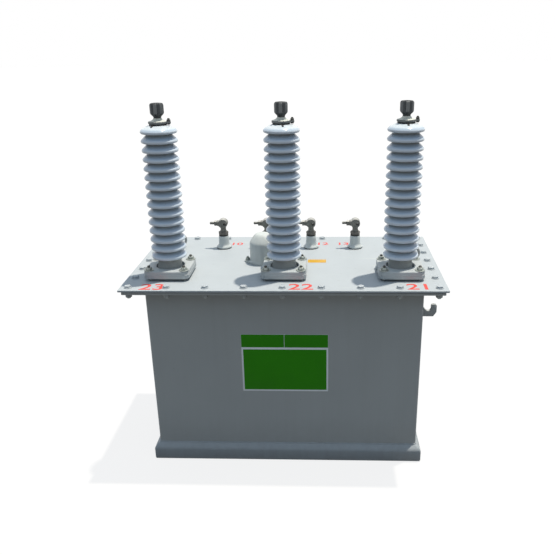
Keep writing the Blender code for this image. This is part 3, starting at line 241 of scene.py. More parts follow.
def arc(centre, radius, start, end, steps):
    """Points on an arc from one angle to another, in degrees."""
    angles = [math.radians(start + (end - start) * i / steps) for i in range(steps + 1)]
    return [(centre[0] + radius * math.cos(a), centre[1] + radius * math.sin(a)) for a in angles]


def circle(radius, sides, centre=(0.0, 0.0)):
    """Points round a circle, anticlockwise."""
    turns = [2 * math.pi * i / sides for i in range(sides)]
    return [(centre[0] + radius * math.cos(a), centre[1] + radius * math.sin(a)) for a in turns]


def rounded_outline(half_x, half_y, radius, steps=10):
    """A rectangle with round corners, anticlockwise."""
    points = []
    corners = [(1, 1), (-1, 1), (-1, -1), (1, -1)]
    for quarter, (x, y) in enumerate(corners):
        centre = (x * (half_x - radius), y * (half_y - radius))
        points += arc(centre, radius, 90 * quarter, 90 * quarter + 90, steps)
    return points


def at(outline, z):
    """An outline at one level."""
    return [(x, y, z) for x, y in outline]


def skin(bm, rings, closed=False, ends=True):
    """Faces between rings of points; the end rings are filled, or the last ring joins the first."""
    made = [[bm.verts.new(point) for point in ring] for ring in rings]
    pairs = list(zip(made, made[1:]))
    if closed:
        pairs.append((made[-1], made[0]))
    for low, high in pairs:
        for i in range(len(low)):
            bm.faces.new((low[i - 1], low[i], high[i], high[i - 1]))
    if ends and not closed:
        bm.faces.new(made[0])
        bm.faces.new(made[-1])
    return made


def make_mesh(name, bm, material, angle=35):
    """A mesh from a shape, smooth except over sharp edges."""
    bmesh.ops.recalc_face_normals(bm, faces=bm.faces)
    mesh = bpy.data.meshes.new(name)
    bm.to_mesh(mesh)
    bm.free()
    mesh.materials.append(material)
    mesh.shade_smooth()
    mesh.set_sharp_from_angle(angle=math.radians(angle))
    return mesh


def put(name, mesh, body="tank", place=(0, 0, 0), instead_of=()):
    """A piece that rides on a body, and stands for the named nodes."""
    piece = bpy.data.objects.new(name, mesh)
    piece.location = place
    bpy.context.scene.collection.objects.link(piece)
    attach(piece, body)
    if instead_of:
        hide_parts(*instead_of)
    return piece


def walk(corners, step):
    """Evenly spaced points along a closed outline, each with the direction square to it and outward."""
    points = []
    for i, corner in enumerate(corners):
        start, end = Vector(corners[i - 1]), Vector(corner)
        run = end - start
        outward = Vector((run.y, -run.x)).normalized()
        count = max(1, round(run.length / step))
        points += [(start + run * k / count, outward) for k in range(count)]
    return points


def weld_bead(name, path, size, material):
    """A rippled bead along a closed path of points and the two directions that its section spreads in."""
    rings = []
    for i, (point, outward, along) in enumerate(path):
        ripple = 0.92 + 0.1 * math.sin(2 * math.pi * i / 3) + 0.2 * noise.noise(Vector(point) * 60)
        spreads = [outward * c + along * s for c, s in circle(1, 7)]
        rings.append([Vector(point) + spread * size * ripple for spread in spreads])
    bead = bmesh.new()
    skin(bead, rings, closed=True)
    put(name, make_mesh(name, bead, material, 60))


def round_tank(z):
    """The path of a bead round the tank at one level."""
    return [((p.x, p.y, z), out.to_3d(), Vector((0, 0, 1))) for p, out in walk(tank_outline, bead_step)]


ledge = 16.5 * mm
plate = 6 * mm
turned_in = -23.5 * mm
fold = [(ledge - 4 * mm, 0.0), (ledge - 1.2 * mm, 1.2 * mm), (ledge, 4 * mm), (ledge, 37 * mm)]
bend = [(ledge, 37 * mm), (ledge, 44.3 * mm), (9.9 * mm, 50.3 * mm)]
for i in range(1, 9):
    share = i / 8
    near = [(1 - share) ** 2 * a + 2 * share * (1 - share) * b + share**2 * c for a, b, c in zip(*bend)]
    fold.append(tuple(near))
fold += [(fit_gap, 59 * mm), (fit_gap, 53 * mm), (ledge - plate, 41 * mm), (ledge - plate, plate)]
fold += [(turned_in, plate), (turned_in, 0.0)]
base = bmesh.new()
rings = []
for out, z in fold:
    corner = foot_corner if out > fit_gap else max(tank_corner + out, foot_corner)
    rings.append(at(rounded_outline(tank_x + out, tank_y + out, corner), z))
skin(base, rings, closed=True)
base_mesh = make_mesh("base_skirt_plate", base, base_enamel_painted_shade)
put("base_skirt_plate", base_mesh, instead_of=["base_skirt"])
tank_outline = rounded_outline(tank_x, tank_y, tank_corner)
weld_bead("base_weld", round_tank(58.5 * mm), 2.6 * mm, base_enamel_painted_shade)

# Tank
# An open box of 4 mm sheet steel, bent round its four corners and welded to a floor plate. It holds the core,
# the windings and the insulating liquid, and it is sprayed grey.

# Grey enamel: the eye sees a satin grey, faintly cloudy, with a few rain marks and dust that thins upward.
grey_enamel = sprayed_enamel("grey_enamel_on_steel", "#a2a7a8", "#aeb3b3", "#8f8c87", 0.16, 0.07)
wall_plate = 4 * mm
floor_plate = 6 * mm
inside = rounded_outline(tank_x - wall_plate, tank_y - wall_plate, tank_corner - wall_plate)
tank = bmesh.new()
outer_wall = [at(tank_outline, tank_low.z), at(tank_outline, tank_high.z)]
skin(tank, outer_wall + [at(inside, tank_high.z), at(inside, tank_low.z + floor_plate)])
put("tank_shell", make_mesh("tank_shell", tank, grey_enamel), instead_of=["tank_body"])

# Earthing pad
# A small block of steel welded low on the tank's back and drilled for one bolt. Its face is left bare and
# ground flat, so that a cable lug makes contact.

# Bare steel: ground with a disc. The eye sees a dull grey metal with fine arcs and a first bloom of rust.
bare_metal = {"Metallic": 1.0}
bare_steel, tree, here = start_material("ground_bare_steel")
arcs = {"wave_type": "RINGS", "Scale": 1 / 0.012, "Distortion": 6.0, "Detail": 4.0, "Detail Scale": 3.0}
scratches = add_node(tree, "ShaderNodeTexWave", arcs, here).outputs[0]
bloom = add_node(tree, "ShaderNodeTexNoise", {"Scale": 1 / 0.018, "Detail": 6.0}, here)
colour = lay_over(tree, "#9c9c98", "#7a5a42", bloom.outputs[0], (0.52, 0.8, 0.0, 0.8))
finish(tree, colour, scratches, (0.34, 0.5), [(scratches, 0.2, 0.0002)], bare_metal)


def in_metres(pairs):
    """Pairs of millimetres as metres."""
    return [(a * mm, b * mm) for a, b in pairs]


def turn(bm, profile, sides=32, centre=(0.0, 0.0), closed=False, ends=True):
    """A turned shape from pairs of radius and height."""
    return skin(bm, [at(circle(radius, sides, centre), z) for radius, z in profile], closed, ends)


def fill_between(bm, loops):
    """A flat face inside the first loop of points, with the other loops as holes."""
    edges = []
    for loop in loops:
        for i in range(len(loop)):
            edges.append(bm.edges.get((loop[i - 1], loop[i])) or bm.edges.new((loop[i - 1], loop[i])))
    bmesh.ops.triangle_fill(bm, use_beauty=True, edges=edges)


pad = bmesh.new()
pad_half = 25 * mm
pad_thick = 9 * mm
pad_rings = []
for inset, corner, z in ((0, 2, 0.1), (0, 2, 8), (1, 1.5, 9)):
    half = pad_half - inset * mm
    pad_rings.append(at(rounded_outline(half, half, corner * mm, 3), z * mm))
pad_sides = skin(pad, pad_rings, ends=False)
hole = turn(pad, in_metres([(6.3, 9), (5.5, 8.2), (5.5, 2)]), 32, ends=False)
pad.faces.new(hole[-1])
fill_between(pad, [pad_sides[-1], hole[0]])
pad.faces.new(pad_sides[0])
bmesh.ops.rotate(pad, verts=pad.verts, matrix=Matrix.Rotation(-math.pi / 2, 3, "X"))
earth_low, earth_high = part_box("earth_pad")
earth_place = ((earth_low.x + earth_high.x) / 2, earth_high.y - pad_thick, (earth_low.z + earth_high.z) / 2)
pad_mesh = make_mesh("earth_block", pad, bare_steel)
put("earth_block", pad_mesh, place=earth_place, instead_of=["earth_pad"])

# Rim flange
# Flat steel bar welded round the tank's top edge. The cover sits on it with a gasket between, and the
# cover's bolts pass through it.
rim_x, rim_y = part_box("tank_flange")[1].xy
cover_low, cover_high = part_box("cover_plate")
cover_top = cover_high.z
rim_low, rim_high = tank_high.z - 8 * mm, tank_high.z


def plate_edge(half_x, half_y, low, high, corner, soft, steps=10):
    """Rings up the edge of a plate, slightly round above and below."""
    levels = [(soft, low), (0, low + soft), (0, high - soft), (soft, high)]
    return [at(rounded_outline(half_x - inset, half_y - inset, corner, steps), z) for inset, z in levels]


rim = bmesh.new()
rim_bore = rounded_outline(tank_x + fit_gap, tank_y + fit_gap, tank_corner + fit_gap)
rim_rings = plate_edge(rim_x, rim_y, rim_low, rim_high, 3 * mm, 0.8 * mm)
skin(rim, rim_rings + [at(rim_bore, rim_high), at(rim_bore, rim_low)], closed=True)
put("rim_flange", make_mesh("rim_flange", rim, grey_enamel), instead_of=["tank_flange"])
weld_bead("rim_weld", round_tank(rim_low - 0.6 * mm), 2.4 * mm, grey_enamel)

# Cover gasket
# A strip of nitrile rubber squeezed between the rim flange and the cover, inside the row of bolts.
# It is cut from sheet and keeps the liquid in.


def start_clouded(name, grain, detail, dark, light, limits=None, ragged=0.5):
    """A new material in two tones: with its tree and link come its clouds, of one size, and its colour."""
    material, tree, here = start_material(name)
    settings = {"Scale": 1 / grain, "Detail": detail, "Roughness": ragged}
    clouds = add_node(tree, "ShaderNodeTexNoise", settings, here).outputs[0]
    return material, tree, here, clouds, lay_over(tree, dark, light, clouds, limits)


def clouded(name, grain, detail, dark, light, rough, bump=None, limits=None, sockets=None):
    """A material in two tones whose clouds set its gloss and its bump as well."""
    material, tree, _, clouds, colour = start_clouded(name, grain, detail, dark, light, limits)
    finish(tree, colour, clouds, rough, [(clouds, *bump)] if bump else [], sockets)
    return material


# Black rubber: cut from sheet. The eye sees a matt near-black with pale talc in its pores.
talc = (0.5, 0.85, 0.0, 1.0)
black_rubber = clouded(
    "nitrile_rubber_sheet", 0.004, 5.0, "#1c1d1e", "#4a4b4a", (0.6, 0.85), (0.3, 0.0003), talc
)


def coat(node, material):
    """Gives a node of the part a finish."""
    node_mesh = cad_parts[node].data
    node_mesh.materials.clear()
    node_mesh.materials.append(material)


coat("cover_gasket", black_rubber)

# Cover
# A 6 mm steel plate, sheared to size and drilled for its bolts, the bushings, the tap changer and the hood.
# It is bolted down all round and sprayed grey, and dust settles on it.


def middle_of(node):
    """The middle of a node's box, seen from above."""
    low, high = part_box(node)
    return (low.x + high.x) / 2, (low.y + high.y) / 2


hv_places = {number: middle_of(f"hv_porcelain_{number}") for number in (1, 2, 3)}
lv_places = {number: middle_of(f"lv_porcelain_{number}") for number in (0, 1, 2, 3)}
tap_place = middle_of("tap_switch")
tap_foot = (*tap_place, cover_top)
ear_offset = 54 * mm
ear_places = [(tap_place[0] - ear_offset, tap_place[1]), (tap_place[0] + ear_offset, tap_place[1])]
bolt_inset = 26 * mm
bolt_x, bolt_y = cover_high.x - bolt_inset, cover_high.y - bolt_inset
bolt_places = [(bolt_x * (i / 4 - 1), side * bolt_y) for i in range(9) for side in (-1, 1)]
bolt_places += [(side * bolt_x, bolt_y * (i / 3 - 1)) for i in range(1, 6) for side in (-1, 1)]

# Dusty enamel: the same paint on a face that looks up. The eye sees it paler and more matt, with dust,
# dried rain marks and short scuffs from tools.
dusty_enamel, tree, here, clouds, colour = start_clouded(
    "dusty_grey_enamel", 0.12, 6.0, "#a6adb1", "#b3babe", ragged=0.62
)
stretch = add_node(tree, "ShaderNodeMapping", {"Scale": (4.0, 60.0, 60.0)}, here)
scuffs = add_node(tree, "ShaderNodeTexNoise", {"Scale": 1.0, "Detail": 3.0}, {0: stretch.outputs[0]})
colour = lay_over(tree, colour, "#bcc2c0", scuffs.outputs[0], (0.66, 0.75, 0.0, 0.5))
drops = add_node(tree, "ShaderNodeTexVoronoi", {"Scale": 1 / 0.035}, here)
colour = lay_over(tree, colour, "#969c9b", drops.outputs["Distance"], (0.09, 0.16, 0.22, 0.0))
peel = add_node(tree, "ShaderNodeTexNoise", {"Scale": 1 / 0.005, "Detail": 2.0}, here)
finish(tree, colour, clouds, (0.48, 0.66), [(peel.outputs[0], 0.12, 0.0006)], paint_gloss)

cover = bmesh.new()
edge_rings = plate_edge(cover_high.x, cover_high.y, cover_low.z, cover_top, 2.5 * mm, 0.7 * mm, 4)
edge = skin(cover, edge_rings, ends=False)
drilled = [(7 * mm, 16, p) for p in bolt_places]
drilled += [(30 * mm, 40, p) for p in hv_places.values()]
drilled += [(14 * mm, 28, p) for p in lv_places.values()]
drilled += [(13 * mm, 28, tap_place)]
drilled += [(5 * mm, 16, p) for p in ear_places]
bottom_loops, top_loops = [edge[0]], [edge[-1]]
for radius, sides, spot in drilled:
    hole = turn(cover, [(radius, cover_low.z), (radius, cover_top)], sides, spot, ends=False)
    bottom_loops.append(hole[0])
    top_loops.append(hole[1])
fill_between(cover, bottom_loops)
fill_between(cover, top_loops)
put("cover_sheet", make_mesh("cover_sheet", cover, dusty_enamel), instead_of=["cover_plate"])

# Cover bolts
# M12 hexagon bolts with flat washers, put in from above, with a washer and a nut below the rim. They were
# sprayed over with the cover and the rim, so that only the thread's free end shows bare zinc.

# Galvanised steel: dipped in molten zinc. The eye sees a dull pale grey with cloudy spangle, darker in the
# corners where dirt stays (the spangle is drawn at 6 mm so that it shows on a bolt head).
galvanised, tree, here = start_material("galvanised_steel")
spangle = add_node(tree, "ShaderNodeTexVoronoi", {"Scale": 1 / 0.006}, here)
stain = add_node(tree, "ShaderNodeTexNoise", {"Scale": 1 / 0.02, "Detail": 5.0}, here).outputs[0]
colour = lay_over(tree, "#8d9592", "#b2b9b6", spangle.outputs["Color"])
colour = lay_over(tree, colour, "#696e6b", stain, (0.5, 0.75, 0.0, 0.6))
finish(tree, colour, stain, (0.42, 0.6), [(stain, 0.15, 0.0004)], {"Metallic": 0.75})


def washer(bm, centre, low, radius, bore, thick):
    """A flat washer with its punched edge slightly round."""
    edge = 0.4 * mm
    profile = [(bore, low), (radius - edge, low), (radius, low + edge), (radius, low + thick - edge)]
    profile += [(radius - edge, low + thick), (bore, low + thick)]
    turn(bm, profile, 28, centre, closed=True)


def hexagon_head(bm, centre, low, across, height, turned_by, both=False):
    """A hexagon head or nut with its corners chamfered at the top, or at both ends."""
    flat = across / 2
    ring_low, ring_high, disc = [], [], []
    for i in range(24):
        angle = 2 * math.pi * i / 24
        reach = flat / math.cos(angle % (math.pi / 3) - math.pi / 6)
        drop = (reach - 0.97 * flat) * math.tan(math.radians(30))
        c, s = math.cos(angle + turned_by), math.sin(angle + turned_by)
        ring_low.append((centre[0] + reach * c, centre[1] + reach * s, low + (drop if both else 0)))
        ring_high.append((centre[0] + reach * c, centre[1] + reach * s, low + height - drop))
        disc.append((centre[0] + 0.95 * flat * c, centre[1] + 0.95 * flat * s))
    rings = [ring_low, ring_high, at(disc, low + height)]
    if both:
        rings.insert(0, at(disc, low))
    skin(bm, rings)


def threaded(bm, centre, low, high, radius, pitch):
    """A screw's thread as even ridges, with its end chamfered."""
    profile = [(0.78 * radius, low), (0.86 * radius, low)]
    z = low
    while z + pitch < high - 0.6 * pitch:
        profile += [(0.86 * radius, z + 0.15 * pitch), (radius, z + 0.42 * pitch)]
        profile += [(radius, z + 0.58 * pitch), (0.86 * radius, z + 0.85 * pitch)]
        z += pitch
    profile += [(0.86 * radius, z + 0.1 * pitch), (0.72 * radius, high)]
    turn(bm, profile, 20, centre)


def repaint(mesh, material, chosen):
    """Gives another finish to the faces whose middles are chosen."""
    mesh.materials.append(material)
    for face in mesh.polygons:
        if chosen(face.center):
            face.material_index = len(mesh.materials) - 1


bolts = bmesh.new()
for i, spot in enumerate(bolt_places):
    washer(bolts, spot, cover_top + 0.1 * mm, 12 * mm, 6.2 * mm, 2 * mm)
    hexagon_head(bolts, spot, cover_top + 2.1 * mm, 18 * mm, 5.4 * mm, 0.73 * i)
    washer(bolts, spot, rim_low - 2.3 * mm, 12 * mm, 6.2 * mm, 2.2 * mm)
    hexagon_head(bolts, spot, rim_low - 12.3 * mm, 18 * mm, 10 * mm, 1.1 * i, both=True)
    threaded(bolts, spot, rim_low - 16 * mm, cover_top + 4 * mm, 5.9 * mm, 1.75 * mm)
bolts_mesh = make_mesh("cover_bolts", bolts, galvanised, 28)
nuts_end = rim_low - 12.4 * mm
repaint(bolts_mesh, dusty_enamel, lambda middle: middle.z > cover_top)
repaint(bolts_mesh, grey_enamel, lambda middle: nuts_end < middle.z <= cover_top)
put("cover_bolts", bolts_mesh)

# Lifting hooks
# Two 12 mm plates flame-cut to a hook and welded upright to the tank's ends, to lift the whole transformer.
# They stand on a diagonal, the right one ahead of the tank's middle and the left one behind it.
hook_ahead = 35 * mm
hook_half = 6 * mm
hook_below = 20.1
hook_outline = [(0.3, -hook_below), (62.8, -hook_below), (73.6, -4.4)]
hook_outline += arc((67.6, 18.1), 6, 0, 90, 6)
hook_outline += arc((60.9, 18.1), 6, 90, 180, 6)
hook_outline += arc((44.9, 10), 10, 0, -140, 20)
hook_outline += [(0.3, 47.6)]
hook_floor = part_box("lifting_hook_right")[0].z + hook_below * mm
weld_low, weld_high = -hook_below * mm, 46.5 * mm
weld_corners = [(-hook_half, weld_low), (hook_half, weld_low)]
weld_corners += [(hook_half, weld_high), (-hook_half, weld_high)]


def soften(bm, rings, size):
    """Rounds the edges along rings of corners."""
    edges = [bm.edges.get((ring[i - 1], ring[i])) for ring in rings for i in range(len(ring))]
    bmesh.ops.bevel(bm, geom=edges, offset=size, segments=2, profile=0.5, affect="EDGES")


for side_name, side in (("left", -1), ("right", 1)):
    node = f"lifting_hook_{side_name}"
    middle = -side * hook_ahead
    hook = bmesh.new()
    outline = [(side * (tank_x + x * mm), hook_floor + z * mm) for x, z in hook_outline]
    faces = skin(hook, [[(x, middle + y, z) for x, z in outline] for y in (-hook_half, hook_half)])
    soften(hook, faces, 1.1 * mm)
    put(f"{node}_plate", make_mesh(node, hook, grey_enamel, 40), instead_of=[node])
    bead_path = []
    for p, out in walk(weld_corners, bead_step):
        spot = (side * (tank_x + 0.8 * mm), middle + p.x, hook_floor + p.y)
        bead_path.append((spot, Vector((0, out.x, out.y)), Vector((side, 0, 0))))
    weld_bead(f"hook_weld_{side_name}", bead_path, 3 * mm, grey_enamel)

# Terminal numbers
# Plain numbers in red paint, put on the cover beside the bushings with a stencil and a brush. The first
# figure is 2 for the high-voltage row and 1 for the low-voltage row, and the second counts the terminals.

# Red stencil paint: brushed on. The eye sees a thin, slightly uneven red that has faded in places.
red_paint = clouded("red_stencil_paint", 0.012, 5.0, "#c9302b", "#d9564c", (0.5, 0.7), (0.2, 0.0002))
paint_lift = 0.15 * mm


def number_mesh(name, text, size, material, wide=1.0):
    """Plain figures as a thin raised mesh about their own middle, stretched sideways."""
    curve = bpy.data.curves.new(name, "FONT")
    curve.body = text
    curve.size = size
    curve.align_x = "CENTER"
    curve.align_y = "CENTER"
    curve.extrude = 0.12 * mm
    curve.offset = 0.012 * size
    drawn = bpy.data.objects.new(name, curve)
    bpy.context.scene.collection.objects.link(drawn)
    bpy.context.view_layer.update()
    mesh = bpy.data.meshes.new_from_object(drawn.evaluated_get(bpy.context.evaluated_depsgraph_get()))
    bpy.data.objects.remove(drawn)
    mesh.transform(Matrix.Diagonal((wide, 1, 1, 1)))
    mesh.materials.clear()
    mesh.materials.append(material)
    return mesh


hv_marks = {1: (0.414, -0.247), 2: (0.056, -0.249), 3: (-0.400, -0.252)}
lv_marks = {0: (-0.197, 0.190), 1: (-0.039, 0.190), 2: (0.119, 0.190), 3: (0.195, 0.190)}
for group, first, marks, size in (("hv", 20, hv_marks, 66 * mm), ("lv", 10, lv_marks, 40 * mm)):
    for number, (x, y) in marks.items():
        name = f"{group}_number_{number}"
        figures = number_mesh(name, str(first + number), size, red_paint, 1.2)
        put(name, figures, place=(x, y, cover_top + paint_lift))

# Cover sticker
# A small blank sticker of yellow vinyl film on the cover, behind the middle bushing. It is cut with round
# corners and held by its own glue.

# Yellow vinyl: cast film. The eye sees a smooth, even yellow with a soft gloss and a little dust.
yellow_vinyl = clouded("yellow_vinyl_film", 0.015, 4.0, "#c0900c", "#ca9c18", (0.35, 0.5), (0.1, 0.0003))
sticker = bmesh.new()
sticker_rings = []
for half_x, half_y, z in ((31, 16, 0.05), (31, 16, 0.2), (30.8, 15.8, 0.25)):
    sticker_rings.append(at(rounded_outline(half_x * mm, half_y * mm, 2 * mm, 4), z * mm))
skin(sticker, sticker_rings)
sticker_mesh = make_mesh("cover_sticker", sticker, yellow_vinyl)
put("cover_sticker", sticker_mesh, place=(0.102, -0.005, cover_top))

# High-voltage bushings
# Hollow porcelain insulators with fifteen sheds, thrown and turned from clay, glazed and fired. A shoulder
# near the foot is clamped to the cover through a rubber ring.
glass_bend = {"IOR": 1.52}


def on_axis(tree, here):
    """The height on a turned piece and the distance from its axis."""
    where = add_node(tree, "ShaderNodeSeparateXYZ", links=here).outputs
    flat_place = add_node(tree, "ShaderNodeCombineXYZ", links={0: where["X"], 1: where["Y"]})
    reach = add_node(tree, "ShaderNodeVectorMath", {"operation": "LENGTH"}, {0: flat_place.outputs[0]})
    return where["Z"], reach.outputs["Value"]


# Grey porcelain: fired clay under a thick blue-grey glaze. The eye sees a glassy skin with sharp highlights,
# a greyer tone between the sheds, which is painted shade, and a paler line over each rim, where the glaze
# runs thin and which is partly a painted highlight. The pale top shed is painted sunlight. A few dark iron
# specks lie in the glaze.
grey_porcelain, tree, here, mottle, colour = start_clouded(
    "glazed_grey_porcelain", 0.025, 4.0, "#a9bdd1", "#b8c9da", ragged=0.55
)
height, reach = on_axis(tree, here)
# Painted shade: a greyer, warmer tone near the axis, between the sheds.
colour = lay_over(tree, colour, "#aeaca4", reach, (0.037, 0.05, 0.9, 0.0))
# A paler line over each rim: thin glaze, and partly a painted highlight on the lips.
colour = lay_over(tree, colour, "#dfe7ee", reach, (0.0515, 0.0552, 0.0, 0.75))
# Painted sunlight: the top shed is paler, for the sun that falls on it.
colour = lay_over(tree, colour, "#d3dde3", height, (0.4585, 0.4635, 0.0, 0.85))
iron = add_node(tree, "ShaderNodeTexVoronoi", {"Scale": 1 / 0.014}, here)
colour = lay_over(tree, colour, "#5a5f63", iron.outputs["Distance"], (0.05, 0.075, 0.6, 0.0))
finish(tree, colour, mottle, (0.1, 0.24), [(mottle, 0.08, 0.0008)], glass_bend)

# Unglazed band: the foot of the porcelain is sanded and cemented. The eye sees a rough, dull grey grit.
sanded_band = clouded("sanded_porcelain", 0.002, 4.0, "#939592", "#b4b6b3", (0.65, 0.9), (0.5, 0.0004))

shed_count = 15
first_shed = 67.8
shed_pitch = 27.6
lip = [(37.4, -8.4), (38.6, -6.4), (41.5, -5.2), (47.5, -5.2), (51, -5.8), (53.2, -5.0), (54.6, -2.9)]
lip += [(55, -0.4), (54.6, 1.7), (53.4, 3.7), (51, 6.2), (47.3, 9.6), (43.6, 13.2), (40.4, 16.4)]
lip += [(38.2, 18.4)]
porcelain_profile = [(6.9, -90), (27, -90), (28, -89), (28, 5.3), (48, 5.3), (49, 6.3), (49, 21), (48, 22)]
porcelain_profile += [(40, 22), (39.4, 27), (37.8, 36), (36.6, 46), (36.2, 58.2)]
for i in range(shed_count):
    porcelain_profile += [(r, first_shed + shed_pitch * i + z) for r, z in lip]
porcelain_top = [(41.5, 466), (36, 469.2), (31.5, 471.2), (29, 471.8), (6.9, 471.8)]
hv_porcelain = bmesh.new()
turn(hv_porcelain, in_metres(porcelain_profile[:-3] + porcelain_top), 72, closed=True)
porcelain_mesh = make_mesh("hv_porcelain", hv_porcelain, grey_porcelain, 50)
band_low, band_high = 20 * mm, 59.8 * mm
repaint(porcelain_mesh, sanded_band, lambda middle: band_low < middle.z < band_high)
for number, (x, y) in hv_places.items():
    node = f"hv_porcelain_{number}"
    put(f"{node}_turned", porcelain_mesh, place=(x, y, cover_top), instead_of=[node])
    coat(f"hv_gasket_{number}", black_rubber)

# Clamp flanges
# Square aluminium castings with round corners that hold each porcelain by its shoulder. They are sand-cast,
# bored, drilled for four studs and painted grey.

# Painted casting: the eye sees the grain of moulding sand through a thin, slightly glossy coat of grey paint.
painted_casting, tree, here, lumps, colour = start_clouded(
    "painted_sand_cast_aluminium", 0.03, 4.0, "#a3a9ab", "#b5bbbc"
)
sand_grain = add_node(tree, "ShaderNodeTexNoise", {"Scale": 1 / 0.0022, "Detail": 3.0}, here).outputs[0]
finish(tree, colour, sand_grain, (0.42, 0.6), [(lumps, 0.2, 0.0015), (sand_grain, 0.25, 0.0004)])

flange_half = 71.5
flange_corner = 18
flange_foot, flange_top = 8, 33
stud_offset = 55 * mm
stud_places = [(x * stud_offset, y * stud_offset) for x, y in ((1, 1), (-1, 1), (-1, -1), (1, -1))]
casting = bmesh.new()
flange_sides = [(2, flange_foot), (0.7, 8.8), (0.1, 11), (0.5, 20), (-0.2, 20.7), (-0.2, 21.3)]
flange_sides += [(0.6, 22), (1.1, 29.6), (1.7, 31.6), (3, 32.7), (4.4, flange_top)]
side_rings = []
for inset, z in flange_sides:
    half = (flange_half - inset) * mm
    side_rings.append(at(rounded_outline(half, half, (flange_corner - inset / 2) * mm, 9), z * mm))
shell = skin(casting, side_rings, ends=False)
bore = [(45.2, flange_top), (44, 31.8), (44, 22.3), (51, 22.3), (51, flange_foot)]
bore_rings = turn(casting, in_metres(bore), 64, ends=False)
stud_hole = in_metres([(5.4, flange_top), (5.4, flange_foot)])
stud_holes = [turn(casting, stud_hole, 20, spot, ends=False) for spot in stud_places]
fill_between(casting, [shell[-1], bore_rings[0]] + [loops[0] for loops in stud_holes])
fill_between(casting, [shell[0], bore_rings[-1]] + [loops[1] for loops in stud_holes])
stub_y, stub_z = 8 * mm, 18 * mm
stub = [(-70, 8), (-75.5, 7.4), (-77, 6.2)]
skin(casting, [[(x * mm, stub_y + y, stub_z + z) for y, z in circle(r * mm, 24)] for x, r in stub])
casting_mesh = make_mesh("clamp_flange", casting, painted_casting)

# Clamp studs
# Four galvanised M10 studs welded to the cover hold each clamp flange, with a washer and a nut on each.
# Their free ends are greased against rust.

# Greased thread: the bare end of a steel stud. The eye sees a nearly black film of old grease and dust.
greased_thread = clouded("greased_steel_thread", 0.005, 5.0, "#2f3132", "#54554f", (0.35, 0.7), (0.3, 0.0002))
studs = bmesh.new()
for i, spot in enumerate(stud_places):
    washer(studs, spot, 33.1 * mm, 15.5 * mm, 5.2 * mm, 2.2 * mm)
    hexagon_head(studs, spot, 35.3 * mm, 17 * mm, 8 * mm, 0.4 + 0.9 * i, both=True)
    threaded(studs, spot, 0.3 * mm, 48.5 * mm, 4.9 * mm, 1.5 * mm)
studs_mesh = make_mesh("clamp_studs", studs, galvanised, 28)
nuts_top = 43.4 * mm
repaint(studs_mesh, greased_thread, lambda middle: middle.z > nuts_top)
for number, (x, y) in hv_places.items():
    node = f"hv_clamp_flange_{number}"
    put(f"{node}_casting", casting_mesh, place=(x, y, cover_top), instead_of=[node])
    put(f"hv_clamp_studs_{number}", studs_mesh, place=(x, y, cover_top))

# Bushing caps
# Cast bronze caps, tinned, that close the top of each porcelain on a rubber ring. A lug at the side carries
# the vent screw that lets trapped air out.

# Tinned bronze: a casting dipped in tin that the weather has dulled. The eye sees a flat lead grey under a
# skin of oxide, darker in its hollows, and paler on the cone at the top, which is partly an oxide bloom and
# partly painted sunlight.
crusted_metal = {"Metallic": 0.35}
tinned_bronze, tree, here, tarnish, colour = start_clouded(
    "tinned_bronze", 0.012, 6.0, "#6e7374", "#545959", (0.42, 0.72, 0.0, 0.9)
)
where = add_node(tree, "ShaderNodeSeparateXYZ", links=here)
# Painted sunlight: the cap's upper cone is paler, partly an oxide bloom.
colour = lay_over(tree, colour, "#d0d5cd", where.outputs["Z"], (0.4826, 0.4836, 0.0, 0.85))
cast_skin = add_node(tree, "ShaderNodeTexNoise", {"Scale": 1 / 0.0015, "Detail": 3.0}, here)
finish(tree, colour, tarnish, (0.48, 0.66), [(cast_skin.outputs[0], 0.15, 0.0002)], crusted_metal)

cap = bmesh.new()
cap_profile = [(6.9, 475.3), (24.8, 475.3), (25.3, 476.2), (27.4, 476.3), (28.2, 476.9), (28.5, 477.8)]
cap_profile += [(28.5, 481.4), (28.2, 482.4), (27.3, 483), (22.5, 484.1), (18, 486), (14.8, 488.4)]
cap_profile += [(12.9, 490.6), (12, 492.2), (6.9, 492.2)]
turn(cap, in_metres(cap_profile), 56, closed=True)
lug_low, lug_high = 477.4 * mm, 482.2 * mm
lug_outline = in_metres([(24, -6.5)] + arc((32.5, 0), 6.5, -90, 90, 10) + [(24, 6.5)])
soften(cap, skin(cap, [at(lug_outline, lug_low), at(lug_outline, lug_high)]), 0.6 * mm)
vent_spot = (32.5 * mm, 0.0)
hexagon_head(cap, vent_spot, lug_high, 10 * mm, 6 * mm, 0.3, both=True)
turn(cap, in_metres([(2.6, 473.2), (2.6, 489.4)]), 20, vent_spot)
hexagon_head(cap, vent_spot, 473.8 * mm, 9 * mm, 3.5 * mm, 0.1, both=True)
turn(cap, in_metres([(2.6, 488.4), (3.3, 489), (3.6, 489.6), (3.6, 491), (3, 491.8)]), 20, vent_spot)
cap_mesh = make_mesh("bushing_cap", cap, tinned_bronze, 30)


def on_vent_screw(middle):
    """Whether a face of the cap belongs to its vent screw, above or below the lug."""
    on_lug = lug_low - 0.1 * mm < middle.z < lug_high + 0.1 * mm
    return math.dist(middle.xy, vent_spot) < 7 * mm and not on_lug


repaint(cap_mesh, greased_thread, on_vent_screw)

